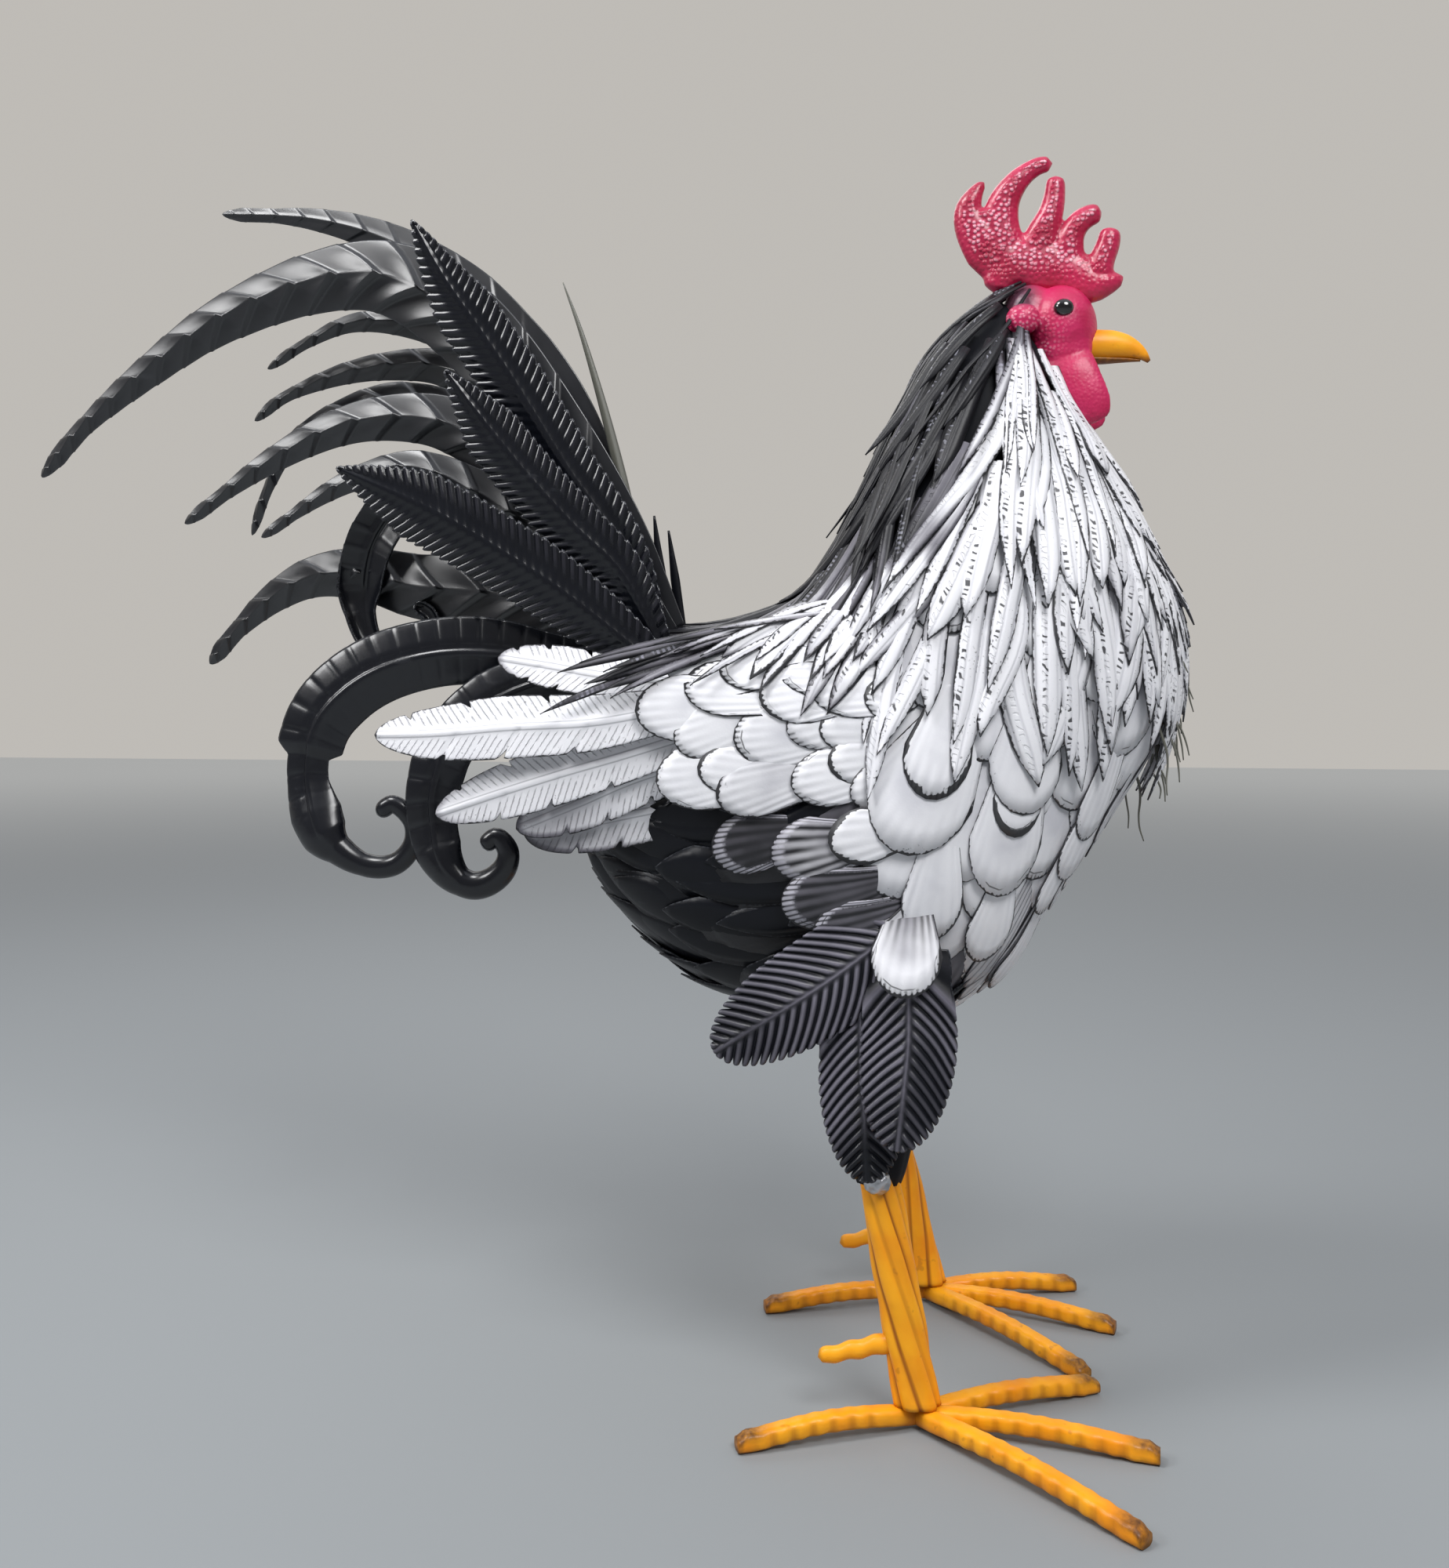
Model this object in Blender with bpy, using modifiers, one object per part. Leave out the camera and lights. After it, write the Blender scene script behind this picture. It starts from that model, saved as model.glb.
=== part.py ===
"""A standing rooster figurine of welded and painted sheet metal.

Lengths below are in millimetres and are turned into metres where a mesh is made.
The design frame has its origin midway between the two feet, FLOOR below it is the floor,
and +X is towards the beak, +Y the bird's left and +Z up. At the end everything is slid so
that the origin is the bottom centre of the bounding box.
"""

import math

import bmesh
import bpy
import numpy as np

MM = 0.001
GAP = 0.35              # clearance kept between two pieces that touch
SHEET = 1.1             # thickness of the feather sheet metal

FOOT_SPACING = 144.0    # from the middle of one foot to the middle of the other
FLOOR = -6.0
KNEE_HEIGHT = 110.0
KNEE_SETBACK = {"right": 18.0, "left": 25.0}     # each knee stands this far behind its foot
SHANK_WIDTH = 19.0
TOE_WIDTH = 9.6
TOE_HEIGHT = 8.8
TOE_ARCH = 3.0          # the toe's middle clears the floor by this much
TOE_ROOT_LIFT = 1.2     # the weld where the toes meet hangs this far above the floor
TOE_PAD = 9.0           # length of the flat pad under each toe tip

# Side outline of body and neck: each rib joins a point on the back line to one on the belly
# line, (back x, back z, belly x, belly z, half width).
BODY_RIBS = [
    (-174, 350, -183, 272, 22),
    (-160, 369, -170, 242, 50),
    (-135, 376, -142, 209, 68),
    (-105, 379, -105, 184, 80),
    (-78, 386, -55, 172, 88),
    (-58, 398, 0, 172, 92),
    (-46, 414, 39, 195, 91),
    (-37, 434, 70, 237, 86),
    (-28, 455, 98, 282, 79),
    (-19, 475, 124, 322, 70),
    (-10, 494, 127, 364, 60),
    (0, 512, 114, 402, 49),
    (12, 526, 100, 436, 38),
    (24, 537, 87, 462, 27),
    (36, 546, 78, 484, 18),
]

PAINT = {
    "white": ((0.80, 0.80, 0.82), 0.42, 0.0),
    "black": ((0.012, 0.013, 0.016), 0.30, 0.6),
    "red": ((0.58, 0.016, 0.085), 0.35, 0.0),
    "orange": ((0.95, 0.36, 0.01), 0.40, 0.0),
    "eye": ((0.004, 0.004, 0.004), 0.06, 0.0),
    "steel": ((0.55, 0.55, 0.56), 0.35, 1.0),
}


# ---------------------------------------------------------------- scene and collections

def clearScene():
    for old in list(bpy.data.objects):
        bpy.data.objects.remove(old, do_unlink=True)


def newCollection(name):
    made = bpy.data.collections.new(name)
    bpy.context.scene.collection.children.link(made)
    return made


clearScene()
ROOSTER = newCollection("metal_rooster")
CUTTERS = newCollection("cutters")


def paint(piece, finish):
    """Gives the piece a Principled material of its own in one of the paint colours."""
    colour, roughness, metallic = PAINT[finish]
    material = bpy.data.materials.new(piece.name + "_paint")
    material.use_nodes = True
    shader = material.node_tree.nodes["Principled BSDF"]
    shader.inputs["Base Color"].default_value = (*colour, 1.0)
    shader.inputs["Roughness"].default_value = roughness
    shader.inputs["Metallic"].default_value = metallic
    piece.data.materials.clear()
    piece.data.materials.append(material)
    return piece


def addPiece(name, mesh, finish):
    piece = bpy.data.objects.new(name, mesh)
    ROOSTER.objects.link(piece)
    return paint(piece, finish)


def evaluatedMesh(piece):
    graph = bpy.context.evaluated_depsgraph_get()
    graph.update()
    return bpy.data.meshes.new_from_object(piece.evaluated_get(graph))


def grownCopy(piece, gap=GAP):
    """A hidden cutter: the finished piece with its surface pushed out by the gap."""
    mesh = evaluatedMesh(piece)
    count = len(mesh.vertices)
    points = np.empty(count * 3)
    normals = np.empty(count * 3)
    mesh.vertices.foreach_get("co", points)
    mesh.vertices.foreach_get("normal", normals)
    mesh.vertices.foreach_set("co", points + normals * gap * MM)
    cutter = bpy.data.objects.new(piece.name + "_cutter", mesh)
    cutter.hide_render = True
    cutter.display_type = "WIRE"
    CUTTERS.objects.link(cutter)
    return cutter


def cutBy(piece, cutter):
    cut = piece.modifiers.new("cut by " + cutter.name, "BOOLEAN")
    cut.operation = "DIFFERENCE"
    cut.solver = "EXACT"
    cut.object = cutter


def joinTo(piece, other):
    """Welds another mesh into the piece; the other object becomes a hidden helper."""
    other.hide_render = True
    other.display_type = "WIRE"
    join = piece.modifiers.new("join " + other.name, "BOOLEAN")
    join.operation = "UNION"
    join.solver = "EXACT"
    join.object = other


def smoothSides(mesh, degrees=40):
    mesh.shade_smooth()
    mesh.set_sharp_from_angle(angle=math.radians(degrees))


# ---------------------------------------------------------------- curves and lofts

def smoothPath(points, count):
    """Evenly spaced points on a Catmull-Rom curve through the given ones."""
    knots = np.asarray(points, float)
    knots = np.vstack([2 * knots[0] - knots[1], knots, 2 * knots[-1] - knots[-2]])
    fine = []
    for i in range(1, len(knots) - 2):
        t = np.linspace(0, 1, 24, endpoint=False)[:, None]
        p0, p1, p2, p3 = knots[i - 1:i + 3]
        fine.append(0.5 * (2 * p1 + (p2 - p0) * t + (2 * p0 - 5 * p1 + 4 * p2 - p3) * t ** 2
                           + (3 * p1 - p0 - 3 * p2 + p3) * t ** 3))
    fine = np.vstack(fine + [knots[-2][None, :]])
    walked = np.concatenate([[0], np.cumsum(np.linalg.norm(np.diff(fine, axis=0), axis=1))])
    stops = np.linspace(0, walked[-1], count)
    return np.column_stack([np.interp(stops, walked, fine[:, k]) for k in range(fine.shape[1])])


def unit(vectors):
    return vectors / np.linalg.norm(vectors, axis=-1, keepdims=True)


def loftMesh(name, rings):
    """A closed mesh through a stack of rings, each a loop of points, with fan caps."""
    rings = np.asarray(rings, float)
    stack, around = rings.shape[:2]
    points = [tuple(p * MM) for p in rings.reshape(-1, 3)]
    faces = []
    for i in range(stack - 1):
        for j in range(around):
            k = (j + 1) % around
            faces.append((i * around + j, i * around + k, (i + 1) * around + k, (i + 1) * around + j))
    for ring, turn in ((0, -1), (stack - 1, 1)):
        hub = len(points)
        points.append(tuple(rings[ring].mean(axis=0) * MM))
        for j in range(around):
            k = (j + 1) % around
            faces.append((ring * around + j, ring * around + k, hub)[::turn])
    mesh = bpy.data.meshes.new(name)
    mesh.from_pydata(points, [], faces)
    shaped = bmesh.new()
    shaped.from_mesh(mesh)
    bmesh.ops.recalc_face_normals(shaped, faces=shaped.faces)
    shaped.to_mesh(mesh)
    shaped.free()
    smoothSides(mesh)
    return mesh


def ellipseLoop(centre, across, up, around, power=1.0):
    """Points round an ellipse from its centre and half axes; a power under 1 squares it off."""
    turn = np.linspace(0, 2 * math.pi, around, endpoint=False)
    c = np.sign(np.cos(turn)) * np.abs(np.cos(turn)) ** power
    s = np.sign(np.sin(turn)) * np.abs(np.sin(turn)) ** power
    return (np.asarray(centre, float) + c[:, None] * np.asarray(across, float)
            + s[:, None] * np.asarray(up, float))


# ---------------------------------------------------------------- body, neck and head

def makeBody():
    """The torso and neck are one shell, lofted through the ribs with a fuller lower half."""
    ribs = np.asarray(BODY_RIBS, float)
    ribs = smoothPath(ribs, 21)
    rings = []
    for backX, backZ, bellyX, bellyZ, half in ribs:
        centre = ((backX + bellyX) / 2, 0, (backZ + bellyZ) / 2)
        up = ((backX - bellyX) / 2, 0, (backZ - bellyZ) / 2)
        rings.append(ellipseLoop(centre, (0, half, 0), up, 20, 0.92))
    return addPiece("body", loftMesh("body", rings), "white")


def ballPiece(name, centre, radii, finish, segments=20, lines=12):
    mesh = bpy.data.meshes.new(name)
    ball = bmesh.new()
    bmesh.ops.create_uvsphere(ball, u_segments=segments, v_segments=lines, radius=1.0)
    for vertex in ball.verts:
        vertex.co = [(c + r * v) * MM for c, r, v in zip(centre, radii, vertex.co)]
    ball.to_mesh(mesh)
    ball.free()
    smoothSides(mesh)
    return addPiece(name, mesh, finish)


WATTLE_PATH = [(74, 507), (81, 492.5), (88, 479)]


def makeWattle(side):
    """A flat rounded lobe hanging under the chin, one on each side."""
    path = smoothPath([(x, z) for x, z in WATTLE_PATH], 7)
    tangent = unit(np.gradient(path, axis=0))
    rings = []
    for step, ((x, z), (tx, tz)) in enumerate(zip(path, tangent)):
        share = step / (len(path) - 1)
        half = 13.0 - 4.5 * share if share < 0.9 else 5.0
        thick = 4.0 - 1.4 * share
        centre = (x, side * (6.0 + 6.0 * share), z)
        rings.append(ellipseLoop(centre, (-tz * half, 0, tx * half), (0, thick, 0), 12))
    name = "wattle_left" if side > 0 else "wattle_right"
    wattle = bpy.data.objects.new(name, loftMesh(name, rings))
    CUTTERS.objects.link(wattle)
    return wattle


def makeHead(bodyCutter):
    """The face with its two wattles, which closes the end of the neck like a mask."""
    head = ballPiece("head", (68.3, 0, 527.2), (22, 19.6, 24.4), "red", 18, 10)
    joinTo(head, makeWattle(-1))
    joinTo(head, makeWattle(1))
    cutBy(head, bodyCutter)
    return head


COMB_THICKNESS = 11.0
COMB_OUTLINE = [
    (46, 549), (36, 548), (31, 555), (26, 563), (19, 571), (15, 584), (20, 594), (31, 603),
    (36, 596), (45, 606), (57, 613), (67, 611), (60, 602), (51, 590), (50, 579), (57, 583),
    (64, 595), (69, 603), (74, 594), (72, 584), (79, 587), (89, 587), (86, 581), (82, 571),
    (84, 562), (90, 568), (96, 575), (98, 566), (98, 559), (101, 551), (94, 543), (84, 537),
    (64, 540),
]


def makeComb(cutters):
    """A five-pointed blade cut to the line of the crown, with rounded edges."""
    curve = bpy.data.curves.new("comb_outline", "CURVE")
    curve.dimensions = "2D"
    curve.fill_mode = "BOTH"
    curve.extrude = COMB_THICKNESS * 0.2 * MM
    curve.bevel_depth = COMB_THICKNESS * 0.3 * MM
    curve.bevel_resolution = 1
    curve.offset = -COMB_THICKNESS * 0.3 * MM
    curve.resolution_u = 2
    spline = curve.splines.new("BEZIER")
    spline.bezier_points.add(len(COMB_OUTLINE) - 1)
    for point, (x, z) in zip(spline.bezier_points, COMB_OUTLINE):
        point.co = (x * MM, z * MM, 0)
        point.handle_left_type = point.handle_right_type = "AUTO"
    spline.use_cyclic_u = True
    guide = bpy.data.objects.new("comb_outline", curve)
    CUTTERS.objects.link(guide)
    guide.rotation_euler = (math.pi / 2, 0, 0)
    bpy.context.view_layer.update()
    mesh = evaluatedMesh(guide)
    mesh.transform(guide.matrix_world)
    welded = bmesh.new()
    welded.from_mesh(mesh)
    bmesh.ops.remove_doubles(welded, verts=welded.verts, dist=0.00002)
    bmesh.ops.recalc_face_normals(welded, faces=welded.faces)
    welded.to_mesh(mesh)
    welded.free()
    smoothSides(mesh)
    bpy.data.objects.remove(guide)
    comb = addPiece("comb", mesh, "red")
    for cutter in cutters:
        cutBy(comb, cutter)
    return comb


def makeBeak(headCutter):
    """A short hooked beak, deeper than it is wide."""
    path = smoothPath([(78, 517), (92, 517.5), (104, 514.5), (114, 508)], 9)
    rings = []
    for step, (x, z) in enumerate(path):
        taper = 1 - (step / (len(path) - 1)) ** 1.7
        rings.append(ellipseLoop((x, 0, z), (0, 1.0 + 7.0 * taper, 0), (0, 0, 0.9 + 7.6 * taper), 12))
    beak = addPiece("beak", loftMesh("beak", rings), "orange")
    cutBy(beak, headCutter)
    return beak


def makeEyes(headCutter):
    for side, name in ((-1, "eye_right"), (1, "eye_left")):
        eye = ballPiece(name, (71, side * 18.2, 532.5), (4.8, 3.6, 4.6), "eye", 10, 6)
        cutBy(eye, headCutter)


# ---------------------------------------------------------------- legs and feet

# Each toe is named with where its tip lies from the middle of its own foot.
TOES = {
    "right": {"outer": (95, -83), "middle": (109, -15), "inner": (86, 49), "back": (-80, -37)},
    "left": {"inner": (82, -85), "middle": (102, -27), "outer": (84, 28), "back": (-88, -32)},
}
SIDES = {"right": -1, "left": 1}


def toeWidthAt(reach):
    """Near the foot's middle the toe narrows to a wedge, so that four meet in one weld."""
    return min(TOE_WIDTH, max(1.0, (reach - 1.0) * 0.52))


def makeToe(foot, which, tip):
    """A bar that arches over the floor and ends on a flat pad, with a slightly lumpy section."""
    footY = SIDES[foot] * FOOT_SPACING / 2
    length = math.hypot(*tip)
    ahead = np.array([tip[0] / length, tip[1] / length, 0])
    beside = np.array([-ahead[1], ahead[0], 0])
    padStart = length - TOE_PAD
    turn = np.radians(22.5 + 45 * np.arange(8))
    corners = np.column_stack([np.sign(np.cos(turn)) * np.abs(np.cos(turn)) ** 0.7,
                               np.sign(np.sin(turn)) * np.abs(np.sin(turn)) ** 0.7])
    corners /= np.abs(corners).max()
    rings = []
    for step, reach in enumerate([3.5, 9, 15, 21, *np.linspace(30, padStart, 5), length]):
        share = min(1, (reach - 3.5) / (padStart - 3.5))
        lift = TOE_ROOT_LIFT * (1 - share) + TOE_ARCH * math.sin(math.pi * share)
        swell = 1 + (0.05 if step % 2 else -0.05) * (20 < reach < padStart)
        wide = toeWidthAt(reach) * swell
        tall = TOE_HEIGHT * swell * (0.62 if reach == length else 1.0)
        centre = ahead * reach + np.array([0, footY, FLOOR + lift + tall / 2])
        rings.append(centre + corners[:, :1] * beside * wide / 2
                     + corners[:, 1:] * np.array([0, 0, tall / 2]))
    name = f"toe_{which}_{foot}"
    return addPiece(name, loftMesh(name, rings), "orange")


def makeShank(foot):
    """The lower leg: a tube of eight lengthwise flutes with a slow twist."""
    footY = SIDES[foot] * FOOT_SPACING / 2
    bottom, top = FLOOR + TOE_HEIGHT + TOE_ROOT_LIFT + 1.6 + GAP, KNEE_HEIGHT - 3.0
    rings = []
    for share in np.linspace(0, 1, 7):
        turn = np.linspace(0, 2 * math.pi, 16, endpoint=False)
        flute = np.where(np.arange(16) % 2, 0.86, 1.0)
        radius = SHANK_WIDTH / 2 * (1.0 + 0.08 * math.sin(math.pi * share))
        twist = 0.9 * share * SIDES[foot]
        x = -KNEE_SETBACK[foot] * share + radius * flute * np.cos(turn + twist)
        y = footY + 0.82 * radius * flute * np.sin(turn + twist)
        rings.append(np.column_stack([x, y, np.full(16, bottom + (top - bottom) * share)]))
    name = "shank_" + foot
    shank = addPiece(name, loftMesh(name, rings), "orange")
    return shank


def makeSpur(foot, shankCutter):
    """A blunt spur on the back of the shank."""
    footY = SIDES[foot] * FOOT_SPACING / 2
    root = -KNEE_SETBACK[foot] * 0.32
    path = smoothPath([(root, 35), (root - 16, 30), (root - 30, 26), (root - 41, 23)], 7)
    rings = []
    for step, (x, z) in enumerate(path):
        half = 4.6 - 0.25 * step + (0.35 if step % 2 else 0)
        rings.append(ellipseLoop((x, footY, z), (0, half * 0.9, 0), (0, 0, half), 8))
    name = "spur_" + foot
    spur = addPiece(name, loftMesh(name, rings), "orange")
    cutBy(spur, shankCutter)


def makeThigh(foot, bodyCutter):
    """The feathered upper leg inside the leg feathers, tapering to the knee."""
    side = SIDES[foot]
    rings = []
    for share in np.linspace(0, 1, 6):
        half = 9.0 + 16.0 * min(1, 1.4 * share) ** 0.8
        centre = (-KNEE_SETBACK[foot] - 2 * share, side * (FOOT_SPACING / 2 - 12 * share),
                  KNEE_HEIGHT - 2.0 + 122 * share)
        rings.append(ellipseLoop(centre, (half * 1.15, 0, 0), (0, half * 0.78, 0), 14))
    name = "thigh_" + foot
    thigh = addPiece(name, loftMesh(name, rings), "black")
    cutBy(thigh, bodyCutter)
    return thigh


def makeKneeWeld(foot, cutters):
    """The bead of bare weld on the outer side of each knee."""
    side = SIDES[foot]
    name = "knee_weld_" + foot
    weld = ballPiece(name, (-KNEE_SETBACK[foot], side * (FOOT_SPACING / 2 + 8.5), KNEE_HEIGHT - 2),
                     (6.2, 4.0, 6.2), "steel", 10, 6)
    for cutter in cutters:
        cutBy(weld, cutter)


# ---------------------------------------------------------------- feathers

def bladeWidth(share, tipStart, rootWidth=0.35, belly=0.35):
    """Half width along a feather as a share of its widest: narrow root, full middle, long point."""
    rise = rootWidth + (1 - rootWidth) * np.sin(np.clip(share / belly, 0, 1) * math.pi / 2)
    fall = np.clip((1 - share) / (1 - tipStart), 0, 1) ** 0.75
    return np.maximum(rise * fall, 0.035)


def leafWidth(share):
    """A broad leaf-shaped feather with a rounded end."""
    return np.maximum(np.sin(np.clip(0.16 + 0.84 * share, 0, 1) * math.pi) ** 0.55
                      * (0.62 + 0.38 * share), 0.10)


def feather(name, path, layer, width, finish, shape, fold=0.22, lean=0.0, notch=0.0, rows=15):
    """A folded sheet-metal feather lying in an upright plane.

    path is its midrib as (x, z) points from root to tip; layer is its y at root and tip.
    fold lifts the midrib outwards by that share of the half width, and lean tips the
    sheet's upper edge towards the middle of the bird. notch cuts back every other row.
    """
    line = smoothPath(path, rows)
    tangent = unit(np.gradient(line, axis=0))
    share = np.linspace(0, 1, rows)
    half = width / 2 * shape(share)
    half *= np.where(np.arange(rows) % 2, 1 - notch, 1)
    outward = math.copysign(1, sum(layer)) if sum(layer) else -1
    y = layer[0] + (layer[1] - layer[0]) * share
    rib = np.column_stack([line[:, 0], y + outward * fold * half, line[:, 1]])
    normal = np.column_stack([-tangent[:, 1], np.zeros(rows), tangent[:, 0]])
    normal *= np.sign(normal[:, 2:].sum() or 1)
    across = normal * math.cos(lean)
    across[:, 1] = -outward * math.sin(lean) * np.abs(normal[:, 2])
    flat = rib - np.column_stack([np.zeros(rows), outward * fold * half, np.zeros(rows)])
    points = np.stack([flat - across * half[:, None], rib, flat + across * half[:, None]], axis=1)
    mesh = bpy.data.meshes.new(name)
    faces = []
    for i in range(rows - 1):
        for j in range(2):
            a = i * 3 + j
            faces.append((a, a + 1, a + 4, a + 3))
    mesh.from_pydata([tuple(p * MM) for p in points.reshape(-1, 3)], [], faces)
    piece = addPiece(name, mesh, finish)
    solid = piece.modifiers.new("sheet", "SOLIDIFY")
    solid.thickness = SHEET * MM
    solid.offset = 0.0
    solid.use_even_offset = False
    return piece


def sickle(name, path, layer, width, rows=13):
    return feather(name, path, layer, width, "black",
                   lambda share: bladeWidth(share, 0.45, 0.4, 0.4), rows=rows)


def ribbed(name, path, layer, width):
    return feather(name, path, layer, width, "black",
                   lambda share: bladeWidth(share, 0.78, 0.45, 0.5), fold=0.10, notch=0.08, rows=13)


# Tail feathers from the near (right) side to the far (left) side: root and tip distance from
# the middle plane, width, and midrib points from the tail base to the tip.
SICKLES = {
    "sickle_lower_right": (
        (-31, -44), 24,
        [(-131, 366), (-182, 414), (-224, 442), (-259, 457), (-287, 454), (-311, 444), (-345, 422)]),
    "sickle_middle_right": (
        (-26.5, -37), 31,
        [(-129, 369), (-163, 414), (-201, 454), (-239, 478), (-269, 485), (-305, 481), (-347, 462),
         (-393, 431)]),
    "sickle_great": (
        (-22, -26), 43,
        [(-129, 371), (-156, 423), (-194, 479), (-237, 533), (-280, 561), (-325, 561), (-378, 543),
         (-418, 519), (-458, 489), (-486, 460)]),
    "sickle_top": (
        (-13, -8), 32,
        [(-131, 372), (-155, 417), (-172, 455), (-193, 496), (-218, 530), (-246, 560), (-287, 586),
         (-333, 601), (-387, 607)]),
    "sickle_upper_left": (
        (-7, 2), 24,
        [(-130, 372), (-178, 442), (-218, 499), (-254, 532), (-282, 543), (-314, 545), (-342, 535),
         (-365, 522)]),
    "sickle_middle_left": (
        (9, 12), 27,
        [(-132, 372), (-186, 451), (-231, 502), (-263, 520), (-294, 523), (-326, 519), (-359, 508),
         (-378, 495)]),
    "sickle_small_left": (
        (15, 22), 24,
        [(-133, 371), (-197, 441), (-252, 491), (-290, 506), (-323, 502), (-357, 485), (-375, 457),
         (-385, 431)]),
    "sickle_low_left": (
        (31, 50), 30,
        [(-134, 367), (-200, 392), (-250, 402), (-290, 403), (-325, 411), (-357, 409), (-384, 396),
         (-408, 377), (-427, 357)]),
}
RIBBED = {
    "ribbed_upper": (
        (-37, -48), 34,
        [(-133, 365), (-150, 412), (-179, 454), (-208, 501), (-241, 550), (-260, 584)]),
    "ribbed_middle": ((-42, -56), 32, [(-129, 360), (-149, 399), (-175, 425), (-206, 460), (-239, 504)]),
    "ribbed_lower": ((-47, -66), 38, [(-122, 346), (-173, 386), (-204, 407), (-246, 432), (-293, 454)]),
}


def makeTail(bodyCutter):
    for name, (layer, width, path) in SICKLES.items():
        cutBy(sickle(name, path, layer, width), bodyCutter)
    for name, (layer, width, path) in RIBBED.items():
        for side in (-1, 1):
            there = tuple(-side * y for y in layer)
            sideName = name + ("_left" if side > 0 else "_right")
            cutBy(ribbed(sideName, path, there, width), bodyCutter)
    quill = feather("quill_front_left",
                    [(-138, 376), (-148, 418), (-158, 460), (-167, 494), (-178, 530), (-188, 557)], (-18, -17), 8,
                    "black", lambda share: bladeWidth(share, 0.4), rows=11)
    cutBy(quill, bodyCutter)


# Curled tail feathers: midrib points and matching widths, ending in a small rolled eye.
CURLS = {
    "curl_great": (
        (-30, -40), 43,
        [(-140, 357), (-184, 356), (-217, 361), (-249, 361), (-279, 354), (-302, 341), (-318, 322),
         (-323, 295), (-314, 267), (-301, 254), (-286, 248), (-272, 250), (-263, 260), (-263, 272),
         (-273, 281), (-282, 276)],
        [0.35, 0.65, 0.95, 1.0, 1.0, 1.0, 0.94, 0.72, 0.55, 0.40, 0.32, 0.29, 0.26, 0.24, 0.21, 0.19]),
    "curl_small": (
        (-42, -52), 32,
        [(-150, 352), (-171, 352), (-213, 338), (-239, 316), (-248, 293), (-249, 276), (-245, 258),
         (-237, 246), (-227, 241), (-217, 243), (-209, 250), (-207, 259), (-213, 266), (-220, 261)],
        [0.5, 0.8, 1.0, 1.0, 1.0, 0.95, 0.80, 0.50, 0.42, 0.38, 0.34, 0.32, 0.30, 0.27]),
    "curl_upper_left": (
        (23, 33), 28,
        [(-136, 370), (-190, 420), (-237, 450), (-274, 458), (-298, 449), (-314, 431), (-322, 410),
         (-324, 390), (-318, 370), (-304, 357), (-288, 358), (-279, 370), (-282, 384), (-291, 390)],
        [0.48, 0.68, 0.83, 0.93, 1.0, 1.0, 1.0, 1.0, 0.98, 0.75, 0.52, 0.42, 0.36, 0.30]),
}


def makeCurls(bodyCutter):
    for name, (layer, width, path, widths) in CURLS.items():
        stops = np.linspace(0, 1, len(widths))
        curl = feather(name, path, layer, width, "black",
                       lambda share, w=widths, s=stops: np.interp(share, s, w), fold=0.12, rows=20)
        cutBy(curl, bodyCutter)


# Wing feathers of the right side, mirrored for the left: root and tip distance from the
# middle plane, width, lean of the sheet, and the midrib points.
WING = {
    "wing_feather_1": ((66, 64), 20, 0.5, [(-118, 345), (-152, 348), (-182, 353), (-208, 357)]),
    "wing_feather_2": ((88, 90), 31, 0.25, [(-98, 335), (-130, 329), (-156, 325), (-194, 323), (-230, 320),
                                            (-262, 319)]),
    "wing_feather_3": ((84, 84), 29, 0.15, [(-92, 324), (-137, 310), (-168, 301), (-200, 291), (-233, 280)]),
    "wing_feather_4": ((80, 78), 28, 0.1, [(-84, 313), (-131, 299), (-162, 286), (-194, 273)]),
    "wing_feather_5": ((76, 72), 30, 0.05, [(-70, 292), (-100, 288), (-140, 280), (-175, 272), (-192, 270)]),
}
# Leg feathers of the right side, mirrored for the left, from the innermost outwards.
LEG = {
    "leg_feather_back": ((84, 90), 54, -0.1, [(-4, 234), (-19, 222), (-39, 207), (-60, 193), (-93, 172)]),
    "leg_feather_low": ((88, 88), 44, 0.0, [(-25, 194), (-25, 176), (-24, 153), (-22, 113)]),
    "leg_feather_front": ((95, 94), 46, 0.0, [(-4, 218), (-3, 201), (-3, 179), (-5, 158), (-8, 131)]),
}


def makeSideFeathers(cutters):
    for foot, side in SIDES.items():
        for name, (layer, width, lean, path) in WING.items():
            blade = feather(f"{name}_{foot}", path, (side * layer[0], side * layer[1]), width, "white",
                            lambda share: bladeWidth(share, 0.72, 0.5, 0.4), 0.12, lean, 0.06, 11)
            cutBy(blade, cutters["body"])
        for name, (layer, width, lean, path) in LEG.items():
            blade = feather(f"{name}_{foot}", path, (side * layer[0], side * layer[1]), width, "black",
                            leafWidth, 0.10, lean, 0.12, 11)
            cutBy(blade, cutters["body"])
            cutBy(blade, cutters["thigh_" + foot])


# ---------------------------------------------------------------- assembly

def slideToCentre():
    """Moves every object so that the bounding box stands on the origin by its bottom centre."""
    graph = bpy.context.evaluated_depsgraph_get()
    graph.update()
    low = np.full(3, np.inf)
    high = np.full(3, -np.inf)
    for piece in ROOSTER.objects:
        mesh = piece.evaluated_get(graph).data
        points = np.empty(len(mesh.vertices) * 3)
        mesh.vertices.foreach_get("co", points)
        points = points.reshape(-1, 3)
        low = np.minimum(low, points.min(axis=0))
        high = np.maximum(high, points.max(axis=0))
    shift = -np.array([(low[0] + high[0]) / 2, (low[1] + high[1]) / 2, low[2]])
    stand = bpy.data.objects.new("stand", None)
    ROOSTER.objects.link(stand)
    stand.location = shift
    for piece in list(ROOSTER.objects) + list(CUTTERS.objects):
        if piece is not stand:
            piece.parent = stand
    bpy.context.view_layer.update()
    print("bounding box in mm", np.round((high - low) / MM, 1), "shifted by", np.round(shift / MM, 2))


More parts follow.
